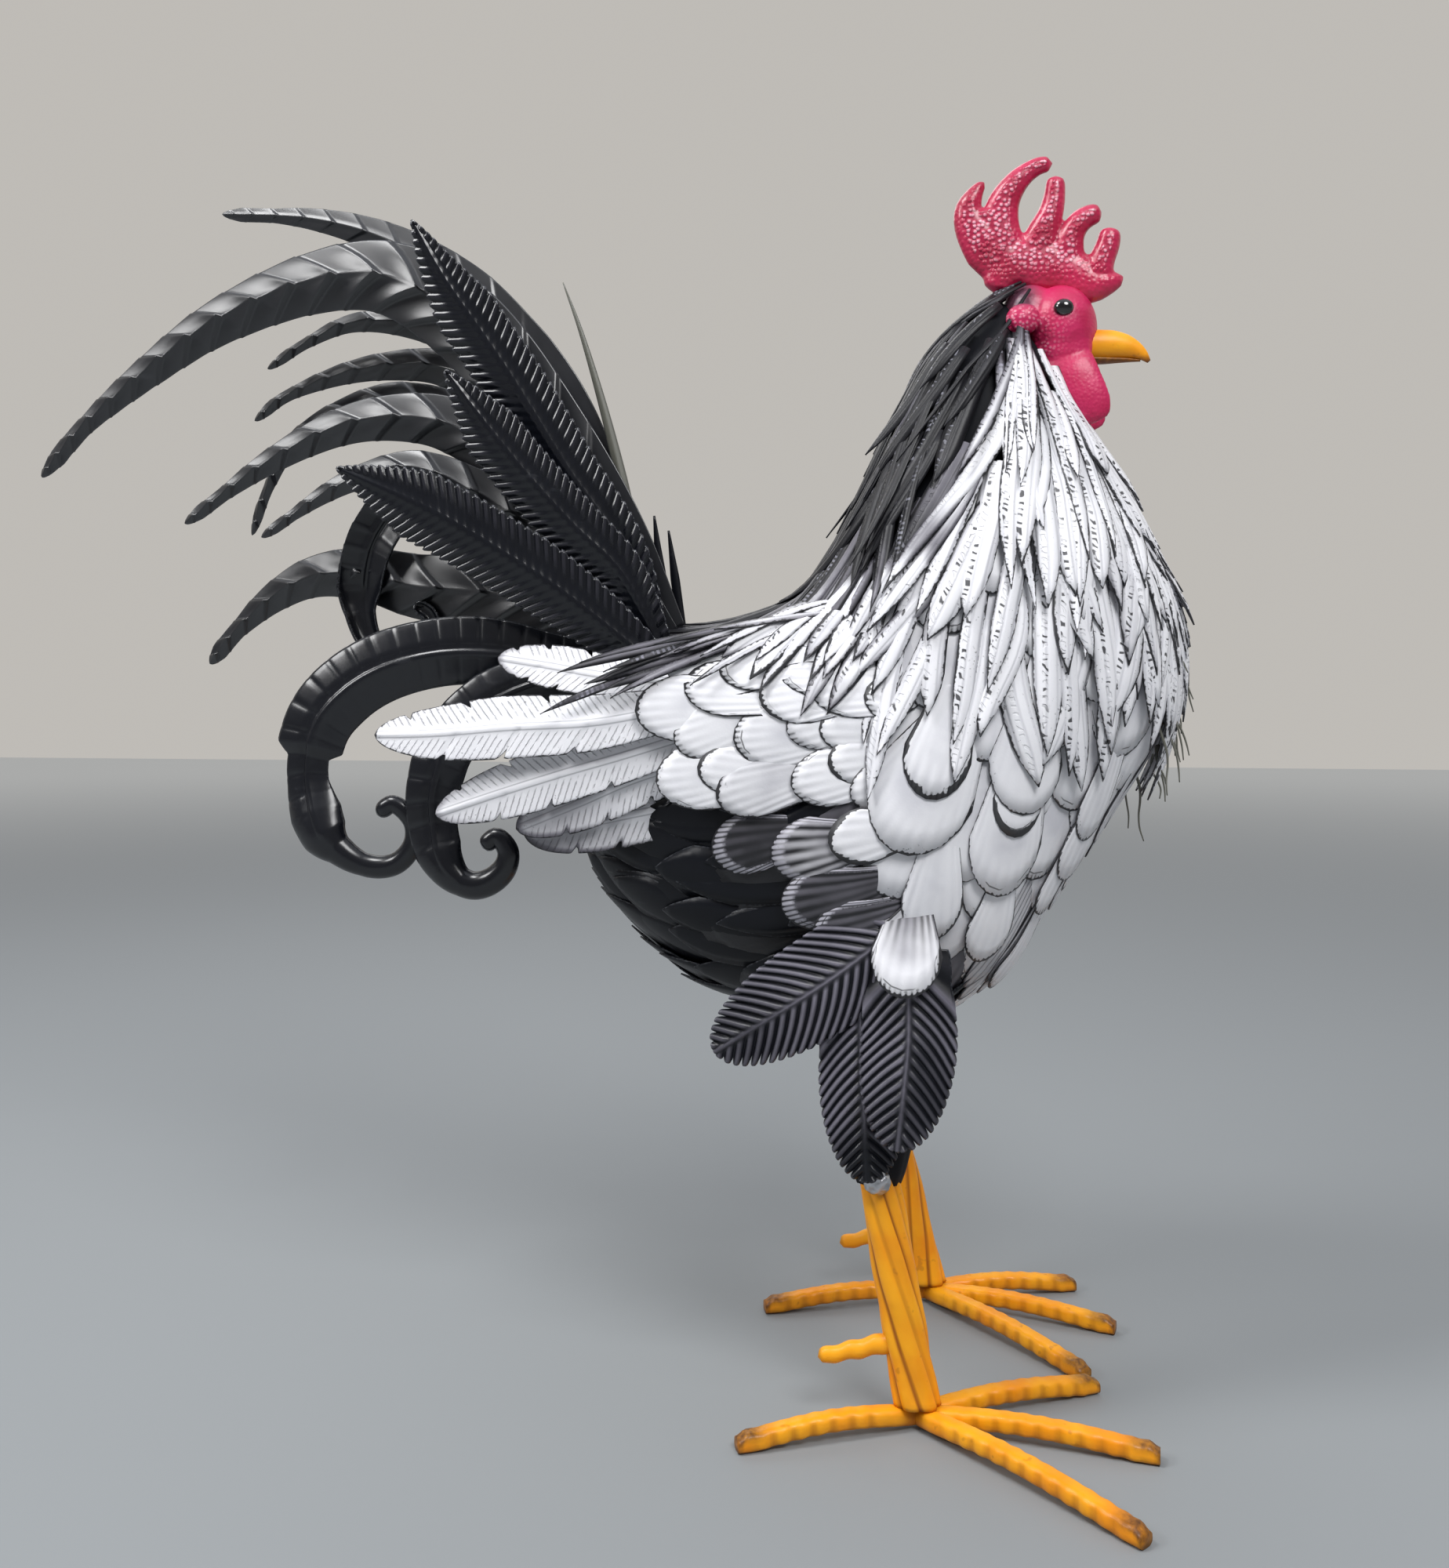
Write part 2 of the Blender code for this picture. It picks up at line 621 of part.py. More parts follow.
body = makeBody()
cutters = {"body": grownCopy(body)}
head = makeHead(cutters["body"])
cutters["head"] = grownCopy(head)
makeComb([cutters["body"], cutters["head"]])
makeBeak(cutters["head"])
makeEyes(cutters["head"])
for foot, toes in TOES.items():
    for which, tip in toes.items():
        makeToe(foot, which, tip)
    shankCutter = grownCopy(makeShank(foot))
    makeSpur(foot, shankCutter)
    cutters["thigh_" + foot] = grownCopy(makeThigh(foot, cutters["body"]))
    makeKneeWeld(foot, [shankCutter, cutters["thigh_" + foot]])
makeTail(cutters["body"])
makeCurls(cutters["body"])
makeSideFeathers(cutters)
slideToCentre()
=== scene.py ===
import bpy
import math
import numpy as np
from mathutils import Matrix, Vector


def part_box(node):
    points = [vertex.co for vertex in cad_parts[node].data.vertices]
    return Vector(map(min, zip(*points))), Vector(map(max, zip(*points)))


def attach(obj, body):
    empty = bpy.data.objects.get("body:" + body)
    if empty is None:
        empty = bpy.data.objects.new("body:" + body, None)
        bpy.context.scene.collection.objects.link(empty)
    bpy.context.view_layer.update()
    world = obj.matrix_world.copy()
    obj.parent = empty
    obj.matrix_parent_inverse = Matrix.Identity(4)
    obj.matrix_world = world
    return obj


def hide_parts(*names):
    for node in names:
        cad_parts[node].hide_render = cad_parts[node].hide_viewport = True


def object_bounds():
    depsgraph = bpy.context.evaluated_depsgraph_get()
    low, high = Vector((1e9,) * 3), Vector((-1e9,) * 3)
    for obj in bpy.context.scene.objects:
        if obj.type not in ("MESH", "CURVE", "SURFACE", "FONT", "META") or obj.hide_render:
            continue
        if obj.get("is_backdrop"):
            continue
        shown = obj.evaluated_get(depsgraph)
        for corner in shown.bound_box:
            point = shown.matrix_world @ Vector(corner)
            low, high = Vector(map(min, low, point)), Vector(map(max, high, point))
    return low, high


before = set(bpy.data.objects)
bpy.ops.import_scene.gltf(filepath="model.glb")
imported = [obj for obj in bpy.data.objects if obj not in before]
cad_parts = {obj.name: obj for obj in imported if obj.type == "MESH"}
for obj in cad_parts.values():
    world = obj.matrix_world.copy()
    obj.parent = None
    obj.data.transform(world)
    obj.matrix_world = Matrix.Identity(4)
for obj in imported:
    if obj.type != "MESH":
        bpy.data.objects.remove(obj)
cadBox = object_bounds()

# Lengths are in millimetres from the point midway between the feet, as the CAD's are: +X to the
# beak, +Y to the bird's left, +Z up, floor at -6. The two eyes say where that point lies.
mm = 0.001
eyeMiddle = (71.0, 0.0, 532.7)
eyeCorners = [corner for node in ("eye_right", "eye_left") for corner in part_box(node)]
designOrigin = np.array(sum(eyeCorners, Vector()) / 4) - np.array(eyeMiddle) * mm
floorHeight = -6.0
rng = np.random.default_rng(41)
sides = ((-1, "right"), (1, "left"))
print("frame loaded, design origin", designOrigin.round(5))


# shader sums

def mathNode(operation, turned=False):
    # a method that adds one Math node; turned puts the wire after the other number
    return lambda self, *other: self.math(operation, *(other + (self,) if turned else (self,) + other))


class Wire:
    # one output socket of a material's node tree; sums on wires add Math nodes
    def __init__(self, tree, socket=None):
        self.tree = tree
        self.socket = socket

    def node(self, kind, settings=None, inputs=None, output=0):
        made = self.tree.nodes.new("ShaderNode" + kind)
        for name, value in (settings or {}).items():
            setattr(made, name, value)
        for name, value in (inputs or {}).items():
            if isinstance(value, Wire):
                self.tree.links.new(value.socket, made.inputs[name])
            else:
                made.inputs[name].default_value = value
        return Wire(self.tree, made.outputs[output])

    def math(self, operation, *terms):
        return self.node("Math", {"operation": operation}, dict(enumerate(terms)))

    __add__, __radd__ = mathNode("ADD"), mathNode("ADD", True)
    __sub__, __rsub__ = mathNode("SUBTRACT"), mathNode("SUBTRACT", True)
    __mul__, __truediv__, __pow__ = mathNode("MULTIPLY"), mathNode("DIVIDE"), mathNode("POWER")
    size, wave, part, most = mathNode("ABSOLUTE"), mathNode("SINE"), mathNode("FRACT"), mathNode("MAXIMUM")

    def rise(self, low, high):
        # 0 up to low, 1 from high on, with a soft step between; low may be the larger
        ends = {"Value": self, "From Min": low, "From Max": high, "To Min": 0.0, "To Max": 1.0}
        return self.node("MapRange", {"interpolation_type": "SMOOTHSTEP"}, ends)

    def mix(self, low, high):
        # the colour low where this wire is 0 and high where it is 1
        full = [c if isinstance(c, Wire) else (*c, 1.0) for c in (low, high)]
        return self.node("Mix", {"data_type": "RGBA"}, {0: self, 6: full[0], 7: full[1]}, 2)

    def mark(self, name):
        # a number stored on the mesh's points
        return self.node("Attribute", {"attribute_name": name}, output="Fac")

    def place(self):
        return self.node("TexCoord", output="Object")

    def axis(self, letter):
        return self.node("SeparateXYZ", inputs={"Vector": self}, output=letter)

    def noise(self, scale, detail=2.0, stretch=None):
        # cloudy values from about 0.3 to 0.7; stretch scales the three directions apart
        where = self.place()
        if stretch:
            where = self.node("Mapping", inputs={"Vector": where, "Scale": stretch})
        values = {"Vector": where, "Scale": scale, "Detail": detail}
        return self.node("TexNoise", inputs=values, output="Fac")

    def cells(self, scale, random=1.0):
        # distance to the nearest cell's middle, the same through the whole width of the bird
        place = self.place()
        where = self.node("CombineXYZ", inputs={"X": place.axis("X"), "Y": place.axis("Z")})
        values = {"Vector": where, "Scale": scale, "Randomness": random}
        return self.node("TexVoronoi", {"voronoi_dimensions": "2D"}, values, "Distance")

    def bump(self, height):
        # height is in millimetres
        values = {"Height": height, "Distance": mm, "Strength": 1.0}
        return self.node("Bump", inputs=values, output="Normal")


def newPaint(name, **plain):
    # a material whose shader has the plain values given by socket name, _ for a space
    material = bpy.data.materials.new(name)
    material.use_nodes = True
    shader = material.node_tree.nodes["Principled BSDF"]
    for socket, value in plain.items():
        shader.inputs[socket.replace("_", " ")].default_value = value
    return material, Wire(material.node_tree), shader


def feed(shader, **wires):
    # leads each wire to the shader's socket of that name
    for socket, wire in wires.items():
        wire.tree.links.new(wire.socket, shader.inputs[socket.replace("_", " ")])


# camera, floor and light

view = {
    "place": (24.7, -761.4, 341.0), "look": (-0.1668, 0.986, 0.0), "lens": 33.3, "sensorWidth": 36.0,
    "shiftUp": -0.06, "nearest": 0.02,
}
studio = {
    # the light all round, and between which shares of the way to the back and upwards it changes
    "behind": (0.52, 0.50, 0.47), "front": (0.17, 0.17, 0.18), "above": (0.75, 0.78, 0.85),
    "frontToBehind": (-0.25, 0.35), "sidesToAbove": (0.55, 0.95),
    # the floor: half its side and its glow's start and end in metres, its gap under the toes in mm
    "floorReach": 6.0, "floorGap": 0.2, "floorColour": (0.265, 0.282, 0.292), "floorRoughness": 0.75,
    "farGlow": (0.22, 0.215, 0.20), "glowFade": (0.7, 6.0),
    # the lamps: place in mm, size in metres, power in watts
    "lampsAim": (0, 0, 330),
    "lamps": {
        "key": ((650, -1250, 1700), 0.9, 25.0), "top": ((-820, -520, 1650), 0.5, 10.0),
        "left": ((-1650, -900, 1380), 0.6, 12.5), "rear": ((-600, 1100, 1500), 1.2, 6.0)},
}


def placeInRoom(point):
    # millimetres from between the feet to metres in the frame
    return np.asarray(point, float) * mm + designOrigin


def newObject(name, data):
    # an object for the mesh, lamp or camera, in the scene
    made = bpy.data.objects.new(name, data)
    bpy.context.scene.collection.objects.link(made)
    return made


def addCamera():
    camera = bpy.data.cameras.new("camera")
    camera.lens = view["lens"]
    camera.sensor_width = view["sensorWidth"]
    camera.shift_y = view["shiftUp"]
    camera.clip_start = view["nearest"]
    seat = newObject("camera", camera)
    seat.location = placeInRoom(view["place"])
    seat.rotation_euler = Vector(view["look"]).to_track_quat("-Z", "Y").to_euler()
    bpy.context.scene.camera = seat


def addLamp(name, place, size, power):
    # a round lamp aimed at the middle of the bird
    lamp = bpy.data.lights.new(name, "AREA")
    lamp.shape = "DISK"
    lamp.size = size
    lamp.energy = power
    seat = newObject(name, lamp)
    seat.location = placeInRoom(place)
    towards = Vector(placeInRoom(studio["lampsAim"])) - seat.location
    seat.rotation_euler = towards.to_track_quat("-Z", "Y").to_euler()


def addWorld():
    # a pale wall of light behind, dim in front and brighter overhead
    world = bpy.data.worlds.new("studio")
    world.use_nodes = True
    w = Wire(world.node_tree)
    direction = w.node("TexCoord", output="Generated")
    colour = direction.axis("Y").rise(*studio["frontToBehind"]).mix(studio["front"], studio["behind"])
    colour = direction.axis("Z").rise(*studio["sidesToAbove"]).mix(colour, studio["above"])
    world.node_tree.links.new(colour.socket, world.node_tree.nodes["Background"].inputs["Color"])
    bpy.context.scene.world = world
    bpy.context.scene.view_settings.view_transform = "Standard"


def addFloor():
    # a plain matt square under the feet that glows a little, and more the farther from the bird
    reach = studio["floorReach"]
    height = float(designOrigin[2]) + (floorHeight - studio["floorGap"]) * mm
    mesh = bpy.data.meshes.new("floor")
    corners = [(x * reach, y * reach, height) for x, y in ((-1, -1), (1, -1), (1, 1), (-1, 1))]
    mesh.from_pydata(corners, [], [(0, 1, 2, 3)])
    material, w, shader = newPaint("floor_paint", Roughness=studio["floorRoughness"], Emission_Strength=1.0,
                                   Base_Color=(*studio["floorColour"], 1))
    away = w.node("VectorMath", {"operation": "LENGTH"}, {0: w.place()}, "Value")
    feed(shader, Emission_Color=away.rise(*studio["glowFade"]).mix((0, 0, 0), studio["farGlow"]))
    mesh.materials.append(material)
    newObject("floor", mesh)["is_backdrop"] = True


addCamera()
addWorld()
addFloor()
for lampName, lamp in studio["lamps"].items():
    addLamp(lampName, *lamp)
print("camera, floor and lamps placed")


# paints; marks read from the meshes: edge the distance to the nearest edge, along and aside the place on
# the sheet, start where the row begins on the midrib and rim the width of the dark outline, all in mm;
# from 0 to 1, tone pale to dark, seed by chance, grooved how deep the grooves are, ridge a rib's height

whiteLook = {
    # shade is the grey of painted shade: in the grooves, just inside the rims and towards the covered roots
    "pale": (0.90, 0.90, 0.93), "cloud": (0.80, 0.80, 0.85), "shade": (0.42, 0.42, 0.48),
    "lavender": (0.165, 0.158, 0.185), "dark": (0.012, 0.012, 0.015), "score": (0.16, 0.16, 0.19),
    "dash": (0.36, 0.36, 0.42), "ladder": (0.36, 0.36, 0.43), "ridge": (0.56, 0.55, 0.62),
    "coatRoughness": 0.25, "roughness": 0.34, "fineTicks": 2.3, "dashPitch": 3.6, "ladderPitch": 2.6,
}


def regularWave(turn):
    # from 0 to 1 and back once in each full turn
    return turn.wave() * 0.5 + 0.5


def fanGrooves(w, m, pitch, colour, height):
    # shaded grooves that deepen towards the rim, and on some sheets a row of fine dark ticks there
    wave = regularWave(m["aside"] * (2 * math.pi / pitch) + m["seed"] * 6.0)
    near = m["edge"].rise(22.0, 5.0) * m["grooved"]
    colour = (wave ** 1.6 * near * (m["cloud"] * 0.6).rise(0.1, 0.6) * 0.42).mix(colour, whiteLook["shade"])
    fineWave = regularWave(m["aside"] * (2 * math.pi / whiteLook["fineTicks"])) ** 2.0
    ticks = fineWave * (m["edge"] + m["fine"] * 2.0).rise(5.0, 3.2)
    ticks = ticks * (m["seed"] * m["grooved"]).rise(0.42, 0.5)
    colour = (ticks * w.noise(90.0, 1.0).rise(0.35, 0.5) * 0.7).mix(colour, whiteLook["dark"])
    return wave, fineWave, colour, height - wave * near * 0.22


def lengthGrooves(m, pitch, colour, height):
    # narrow shaded grooves that run along the sheet
    groove = regularWave(m["aside"] * (2 * math.pi / pitch) + m["seed"] * 9.0) ** 6.0
    colour = (groove * (0.30 + m["grooved"] * 0.5)).mix(colour, whiteLook["shade"])
    return colour, height - groove * (0.3 + m["grooved"] * 0.4)


def scoreLines(w, m, pitch, colour, height):
    # faint broken score lines along a feather's rows, and a groove at each side of its midrib
    place = ((m["start"] / pitch + (m["fine"] - 0.5) * 0.25).part() - 0.5).size()
    line = place.rise(0.36, 0.47) * m["aside"].size().rise(2.5, 5.0) * w.noise(210.0, 1.0).rise(0.30, 0.50)
    groove = (m["aside"].size() - 1.5).size().rise(0.6, 0.1) * 0.5
    return (line * 0.40).most(groove).mix(colour, whiteLook["score"]), height - line * 0.45


def dashRows(w, m, amount, colour, height):
    # one broken row of dashes beside the midline, dark on pale and grey on dark, and on some dark
    # sheets a ladder of grey rungs along the midline
    aside, seed, tone, jumble = m["aside"], m["seed"], m["tone"], w.noise(150.0, 1.0)
    place = m["along"] / whiteLook["dashPitch"] + seed * 7.0 + aside * 0.10 + jumble * 2.5
    tick = (place.part() - 0.5).size().rise(0.22, 0.12)
    row = ((aside - (seed - 0.5).math("SIGN") * (1.2 + jumble * 2.0)).size() - 0.8).rise(0.5, 0.1)
    kept = w.noise(130.0, 1.0).rise(0.45, 0.54) * seed.rise(0.2, 0.25)
    spots = tick * row * kept * amount
    colour = (spots * (1.0 - tone).rise(0.1, 0.6)).mix(colour, whiteLook["dark"])
    colour = (spots * tone.rise(0.7, 0.9) * 0.6).mix(colour, whiteLook["dash"])
    rung = ((m["along"] / whiteLook["ladderPitch"] + jumble * 0.5).part() - 0.5).size().rise(0.32, 0.20)
    ladder = rung * aside.size().rise(1.5, 0.9) * seed.rise(0.74, 0.77) * m["edge"].rise(0.3, 0.8)
    colour = (ladder * tone.rise(0.35, 0.5) * jumble.rise(0.42, 0.6) * 0.6).mix(colour, whiteLook["ladder"])
    return colour, height - tick * row * 0.35


def whitePaint(name, dashes=0.0, fan=0.0, crease=0.0, scores=0.0, shine=0.5):
    # pale enamel: a cloudy ground, painted shade inside the rim and towards the covered root, grooves that
    # fan out or run lengthwise, score lines, airbrushing by tone through a lavender grey, dashes, flecks and
    # a ragged dark rim; fan, crease and scores are the distances between grooves or lines in mm, 0 for none
    look = whiteLook
    material, w, shader = newPaint(name, Coat_Roughness=look["coatRoughness"], Specular_IOR_Level=shine)
    names = ("edge", "tone", "along", "aside", "start", "seed", "grooved", "rim")
    m = {mark: w.mark(mark) for mark in names}
    edge, tone, seed = m["edge"], m["tone"], m["seed"]
    m["fine"], m["cloud"] = w.noise(900.0, 3.0), w.noise(34.0, 3.0)
    fine, cloud = m["fine"], m["cloud"]
    colour = (cloud * 0.5 + fine * 0.2 - 0.1).rise(0.05, 0.75).mix(look["pale"], look["cloud"])
    # painted shade: grey just inside the rim, and grey clouds further in towards the root where the sheet
    # above overlaps
    inner = (edge.rise(3.5, 0.3) * cloud).most(edge.rise(13.0, 25.0) * cloud.rise(0.3, 0.65) * 1.5)
    colour = (inner * 0.30).mix(colour, look["shade"])
    height = fine * 0.05
    if fan:
        wave, fineWave, colour, height = fanGrooves(w, m, fan, colour, height)
    if crease:
        colour, height = lengthGrooves(m, crease, colour, height)
    if scores:
        colour, height = scoreLines(w, m, scores, colour, height)
    patchy = (cloud - 0.5) * 0.5 + edge.rise(3.0, 0.2) * 0.35
    toned = tone + patchy * tone.rise(0.0, 0.25)
    colour = toned.rise(0.0, 0.60).mix(colour, look["lavender"])
    if fan:
        # on the darkened petals the grooves are black and the ridges stay pale towards the rim
        dim = tone.rise(0.12, 0.5) * m["grooved"]
        colour = ((wave * 1.25 - 0.1) * dim * edge.rise(34.0, 10.0)).mix(colour, look["dark"])
        bars = (1.0 - fineWave) * (edge + fine * 3.0).rise(9.0, 6.0) * tone.rise(0.30, 0.45)
        ridges = bars * (1.0 - tone.rise(0.9, 0.97)) * m["grooved"]
    colour = toned.rise(0.50, 0.97).mix(colour, look["dark"])
    if fan:
        colour = (ridges * 0.85).mix(colour, look["ridge"])
    if dashes:
        colour, height = dashRows(w, m, dashes, colour, height)
    swell = w.noise(75.0, 1.0)
    rim = m["rim"] * (0.35 + swell.rise(0.35, 0.65) * 1.1)
    ragged = edge + (w.noise(420.0, 2.0) - 0.5) * 2.2
    if fan:
        # a second, broken line inside the rim on about half of the petals
        second = (edge - 2.6 - cloud * 2.4).size().rise(0.5, 0.15)
        second = second * swell.rise(0.52, 0.60) * seed.rise(0.45, 0.5)
        colour = (second * 0.75).mix(colour, look["dark"])
        ragged = ragged - fineWave * m["grooved"] * 0.8
    flecks = w.noise(640.0, 1.0).rise(0.66, 0.72) * edge.rise(7.0, 1.0) * swell.rise(0.45, 0.6)
    colour = (flecks * 0.7).mix(colour, look["dark"])
    colour = ((ragged - rim).rise(0.35, -0.15) * 0.95).mix(colour, look["dark"])
    feed(shader, Base_Color=colour, Normal=w.bump(height), Roughness=look["roughness"] + fine * 0.2,
         Coat_Weight=(1.0 - tone) * 0.18)
    return material


satinLook = {
    "black": (0.0045, 0.0052, 0.0078), "worn": (0.16, 0.17, 0.19), "ribGlintAndDust": (0.31, 0.295, 0.36),
    "quill": (0.115, 0.115, 0.095),
}


def satinPaint(name, roughness=0.30, worn=0.3, glintAndDust=0.0, grain=0.03, shine=0.5, shade=satinLook["black"]):
    # black stove paint: bare-looking specks along the edges, faint scratches, and on the rib tops a pale
    # haze that is partly dust and partly a painted glint
    material, w, shader = newPaint(name, Specular_IOR_Level=shine)
    fine, cloud = w.noise(700.0, 3.0), w.noise(60.0, 3.0)
    scratch = w.noise(260.0, 2.0, (0.12, 1.0, 1.0)).rise(0.62, 0.72) * cloud.rise(0.5, 0.7)
    edgeWear = w.mark("edge").rise(0.9, 0.2) * fine.rise(0.40, 0.62)
    colour = (cloud * 0.6).mix(shade, tuple(1.6 * c for c in shade))
    colour = (edgeWear * worn + scratch * 0.07).mix(colour, satinLook["worn"])
    if glintAndDust:
        # painted glint: the rib tops are lightened in colour, partly as dust and partly standing in for the
        # light they catch
        ribGlintAndDust = (w.mark("ridge") ** 2.6) * glintAndDust * (0.35 + cloud * 0.8) * (1.0 - w.mark("tone"))
        colour = ribGlintAndDust.mix(colour, satinLook["ribGlintAndDust"])
    feed(shader, Base_Color=colour, Roughness=roughness + cloud * 0.12, Normal=w.bump(fine * grain))
    return material


crimsonLook = {
    "deep": (0.40, 0.006, 0.045), "bright": (0.55, 0.014, 0.080), "seamShade": (0.22, 0.004, 0.028),
    "rubbedPinkAndGlint": (0.86, 0.40, 0.50), "cellsPerMetre": 385.0, "cellsUneven": 0.75, "roughness": 0.28,
}


def crimsonPaint():
    # crimson enamel, hammered in cells where the sheet lies flat, with painted shade in the low seams
    # between cells and pale pink dots on the cells' tops that are partly rubbed paint and partly painted
    # glints
    material, w, shader = newPaint("crimson_enamel", Coat_Weight=0.4, Coat_Roughness=0.15)
    flat = w.mark("flat")
    fine, cloud = w.noise(260.0, 2.0), w.noise(52.0, 2.0)
    cell = w.cells(crimsonLook["cellsPerMetre"], crimsonLook["cellsUneven"])
    colour = cloud.rise(0.3, 0.7).mix(crimsonLook["deep"], crimsonLook["bright"])
    # painted shade darkens the low seams between the hammered cells
    colour = (cell.rise(0.42, 0.68) * flat * 0.5).mix(colour, crimsonLook["seamShade"])
    # pale pink dots on the cells' tops: partly rubbed paint, partly painted glints of light on the facets
    dot = cell.rise(0.46, 0.22) * flat.rise(0.35, 0.9) * (cloud * 0.9 + fine * 0.6).rise(0.64, 0.80)
    colour = (dot * 0.85).mix(colour, crimsonLook["rubbedPinkAndGlint"])
    height = cell.rise(0.60, 0.10) * (0.15 + flat * 0.55) + w.noise(160.0, 2.0) * 0.3
    feed(shader, Base_Color=colour, Normal=w.bump(height), Roughness=crimsonLook["roughness"] + fine * 0.16)
    return material


faceLook = {
    "deep": (0.47, 0.010, 0.070), "bright": (0.60, 0.020, 0.115), "seamShade": (0.26, 0.006, 0.04),
    "rubbedPinkAndGlint": (0.85, 0.42, 0.52), "overspray": (0.075, 0.06, 0.085), "cellsPerMetre": 470.0,
    "cellsUneven": 0.8, "roughness": 0.36,
}


def facePaint():
    # smoother crimson with grey overspray on the nape side, and where it is flecked painted shade in the
    # seams between cells and pale pink cells that are partly rubbed paint and partly painted glints
    material, w, shader = newPaint(
        "face_enamel", Coat_Weight=0.22, Coat_Roughness=0.2, Specular_IOR_Level=0.4)
    overspray, flecked = w.mark("overspray"), w.mark("flecked")
    fine, cloud = w.noise(330.0, 2.0), w.noise(60.0, 2.0)
    cell = w.cells(faceLook["cellsPerMetre"], faceLook["cellsUneven"])
    colour = cloud.rise(0.3, 0.75).mix(faceLook["deep"], faceLook["bright"])
    # painted shade darkens the low seams between the cells
    colour = (cell.rise(0.45, 0.7) * flecked * 0.25).mix(colour, faceLook["seamShade"])
    # pale pink dots: partly rubbed paint, partly painted glints
    dot = cell.rise(0.40, 0.2) * flecked * cloud.rise(0.42, 0.66)
    colour = (dot * 0.45).mix(colour, faceLook["rubbedPinkAndGlint"])
    colour = (overspray * (0.65 + fine * 0.4)).mix(colour, faceLook["overspray"])
    height = cell.rise(0.6, 0.1) * (0.08 + flecked * 0.14) + fine * 0.12
    feed(shader, Base_Color=colour, Normal=w.bump(height), Roughness=faceLook["roughness"] + fine * 0.14)
    return material


orangeLook = {
    "deep": (0.92, 0.31, 0.004), "bright": (1.0, 0.43, 0.010), "crease": (0.33, 0.085, 0.004),
    "speck": (0.35, 0.10, 0.01), "burnt": (0.07, 0.025, 0.008), "roughness": 0.34,
}


def orangePaint():
    # orange enamel, brown in the creases and darker under the toes as painted shade (crease), speckled, and
    # burnt at the ends (burnt)
    material, w, shader = newPaint(
        "orange_enamel", Coat_Weight=0.1, Coat_Roughness=0.2, Specular_IOR_Level=0.35)
    fine, cloud = w.noise(420.0, 3.0), w.noise(45.0, 3.0)
    colour = cloud.rise(0.3, 0.7).mix(orangeLook["deep"], orangeLook["bright"])
    colour = (w.mark("crease") * (0.5 + cloud * 0.6)).mix(colour, orangeLook["crease"])
    speck = w.noise(150.0, 2.0).rise(0.66, 0.74)
    colour = (speck * 0.35).mix(colour, orangeLook["speck"])
    colour = (w.mark("burnt") * (0.35 + fine * 0.9)).mix(colour, orangeLook["burnt"])
    height = fine * 0.08 + w.noise(110.0, 2.0) * 0.35
    feed(shader, Base_Color=colour, Normal=w.bump(height), Roughness=orangeLook["roughness"] + fine * 0.2)
    return material


steelLook = {"dull": (0.30, 0.31, 0.33), "bright": (0.62, 0.63, 0.66), "roughness": 0.22}


def steelPaint():
    # bare weld metal, lumpy and bright
    material, w, shader = newPaint("bare_weld_metal", Metallic=1.0)
    fine, lump = w.noise(500.0, 3.0), w.noise(170.0, 2.0)
    colour = lump.rise(0.35, 0.65).mix(steelLook["dull"], steelLook["bright"])
    feed(shader, Base_Color=colour, Roughness=steelLook["roughness"] + fine * 0.25,
         Normal=w.bump(lump * 1.4 + fine * 0.2))
    return material


eyeLook = {"black": (0.003, 0.003, 0.003), "brown": (0.010, 0.008, 0.009), "roughness": 0.15}


def eyePaint():
    # a black bead, barely browner in places, under clear gloss
    material, w, shader = newPaint(
        "eye_gloss", Roughness=eyeLook["roughness"], Coat_Weight=1.0, Coat_Roughness=0.1)
    feed(shader, Base_Color=w.noise(200.0).rise(0.3, 0.8).mix(eyeLook["black"], eyeLook["brown"]))
    return material


paints = {
    "strip": whitePaint("strip_enamel", dashes=0.9, crease=5.2, shine=0.35),
    "petal": whitePaint("petal_enamel", fan=5.8),
    "scale": whitePaint("scale_enamel", fan=4.4),
    "stripe": whitePaint("stripe_enamel", crease=4.3),
    "wing": whitePaint("wing_enamel", scores=3.7),
    "satin": satinPaint("black_satin", 0.30, shine=0.24),
    "sickle": satinPaint("black_sickle", 0.27, worn=0.15, grain=0.0, shine=0.95),
    "stamped": satinPaint("black_stamped", 0.13, worn=0.4, glintAndDust=0.22, shine=0.5),
    "curl": satinPaint("black_curl", 0.17, worn=0.2, grain=0.006, shine=0.6),
    "leg": satinPaint("leg_feather_paint", 0.28, worn=0.3, glintAndDust=0.82, shine=0.35),
    "shell": satinPaint("under_shell", 0.5, worn=0.0, shine=0.2),
    "crimson": crimsonPaint(),
    "face": facePaint(),
    "orange": orangePaint(),
    "quill": satinPaint("quill_paint", 0.4, worn=0.2, shade=satinLook["quill"]),
    "steel": steelPaint(),
    "eye": eyePaint(),
}
print("paints mixed:", len(paints))


# curves and meshes

def walkedAlong(line):
    # the distance walked from the first point of a line to each of its points
    return np.concatenate([[0], np.cumsum(np.linalg.norm(np.diff(line, axis=0), axis=1))])


def smoothPath(points, count):
    # evenly spaced points on a Catmull-Rom curve through the given ones
    knots = np.asarray(points, float)
    knots = np.vstack([2 * knots[0] - knots[1], knots, 2 * knots[-1] - knots[-2]])
    t = np.linspace(0, 1, 24, endpoint=False)[:, None]
    fine = []
    for p0, p1, p2, p3 in zip(knots, knots[1:], knots[2:], knots[3:]):
        bend = 2 * p0 - 5 * p1 + 4 * p2 - p3
        fine.append(0.5 * (2 * p1 + (p2 - p0) * t + bend * t ** 2 + (3 * p1 - p0 - 3 * p2 + p3) * t ** 3))
    fine = np.vstack(fine + [knots[-2][None, :]])
    walked = walkedAlong(fine)
    stops = np.linspace(0, walked[-1], count)
    return np.column_stack([np.interp(stops, walked, column) for column in fine.T])


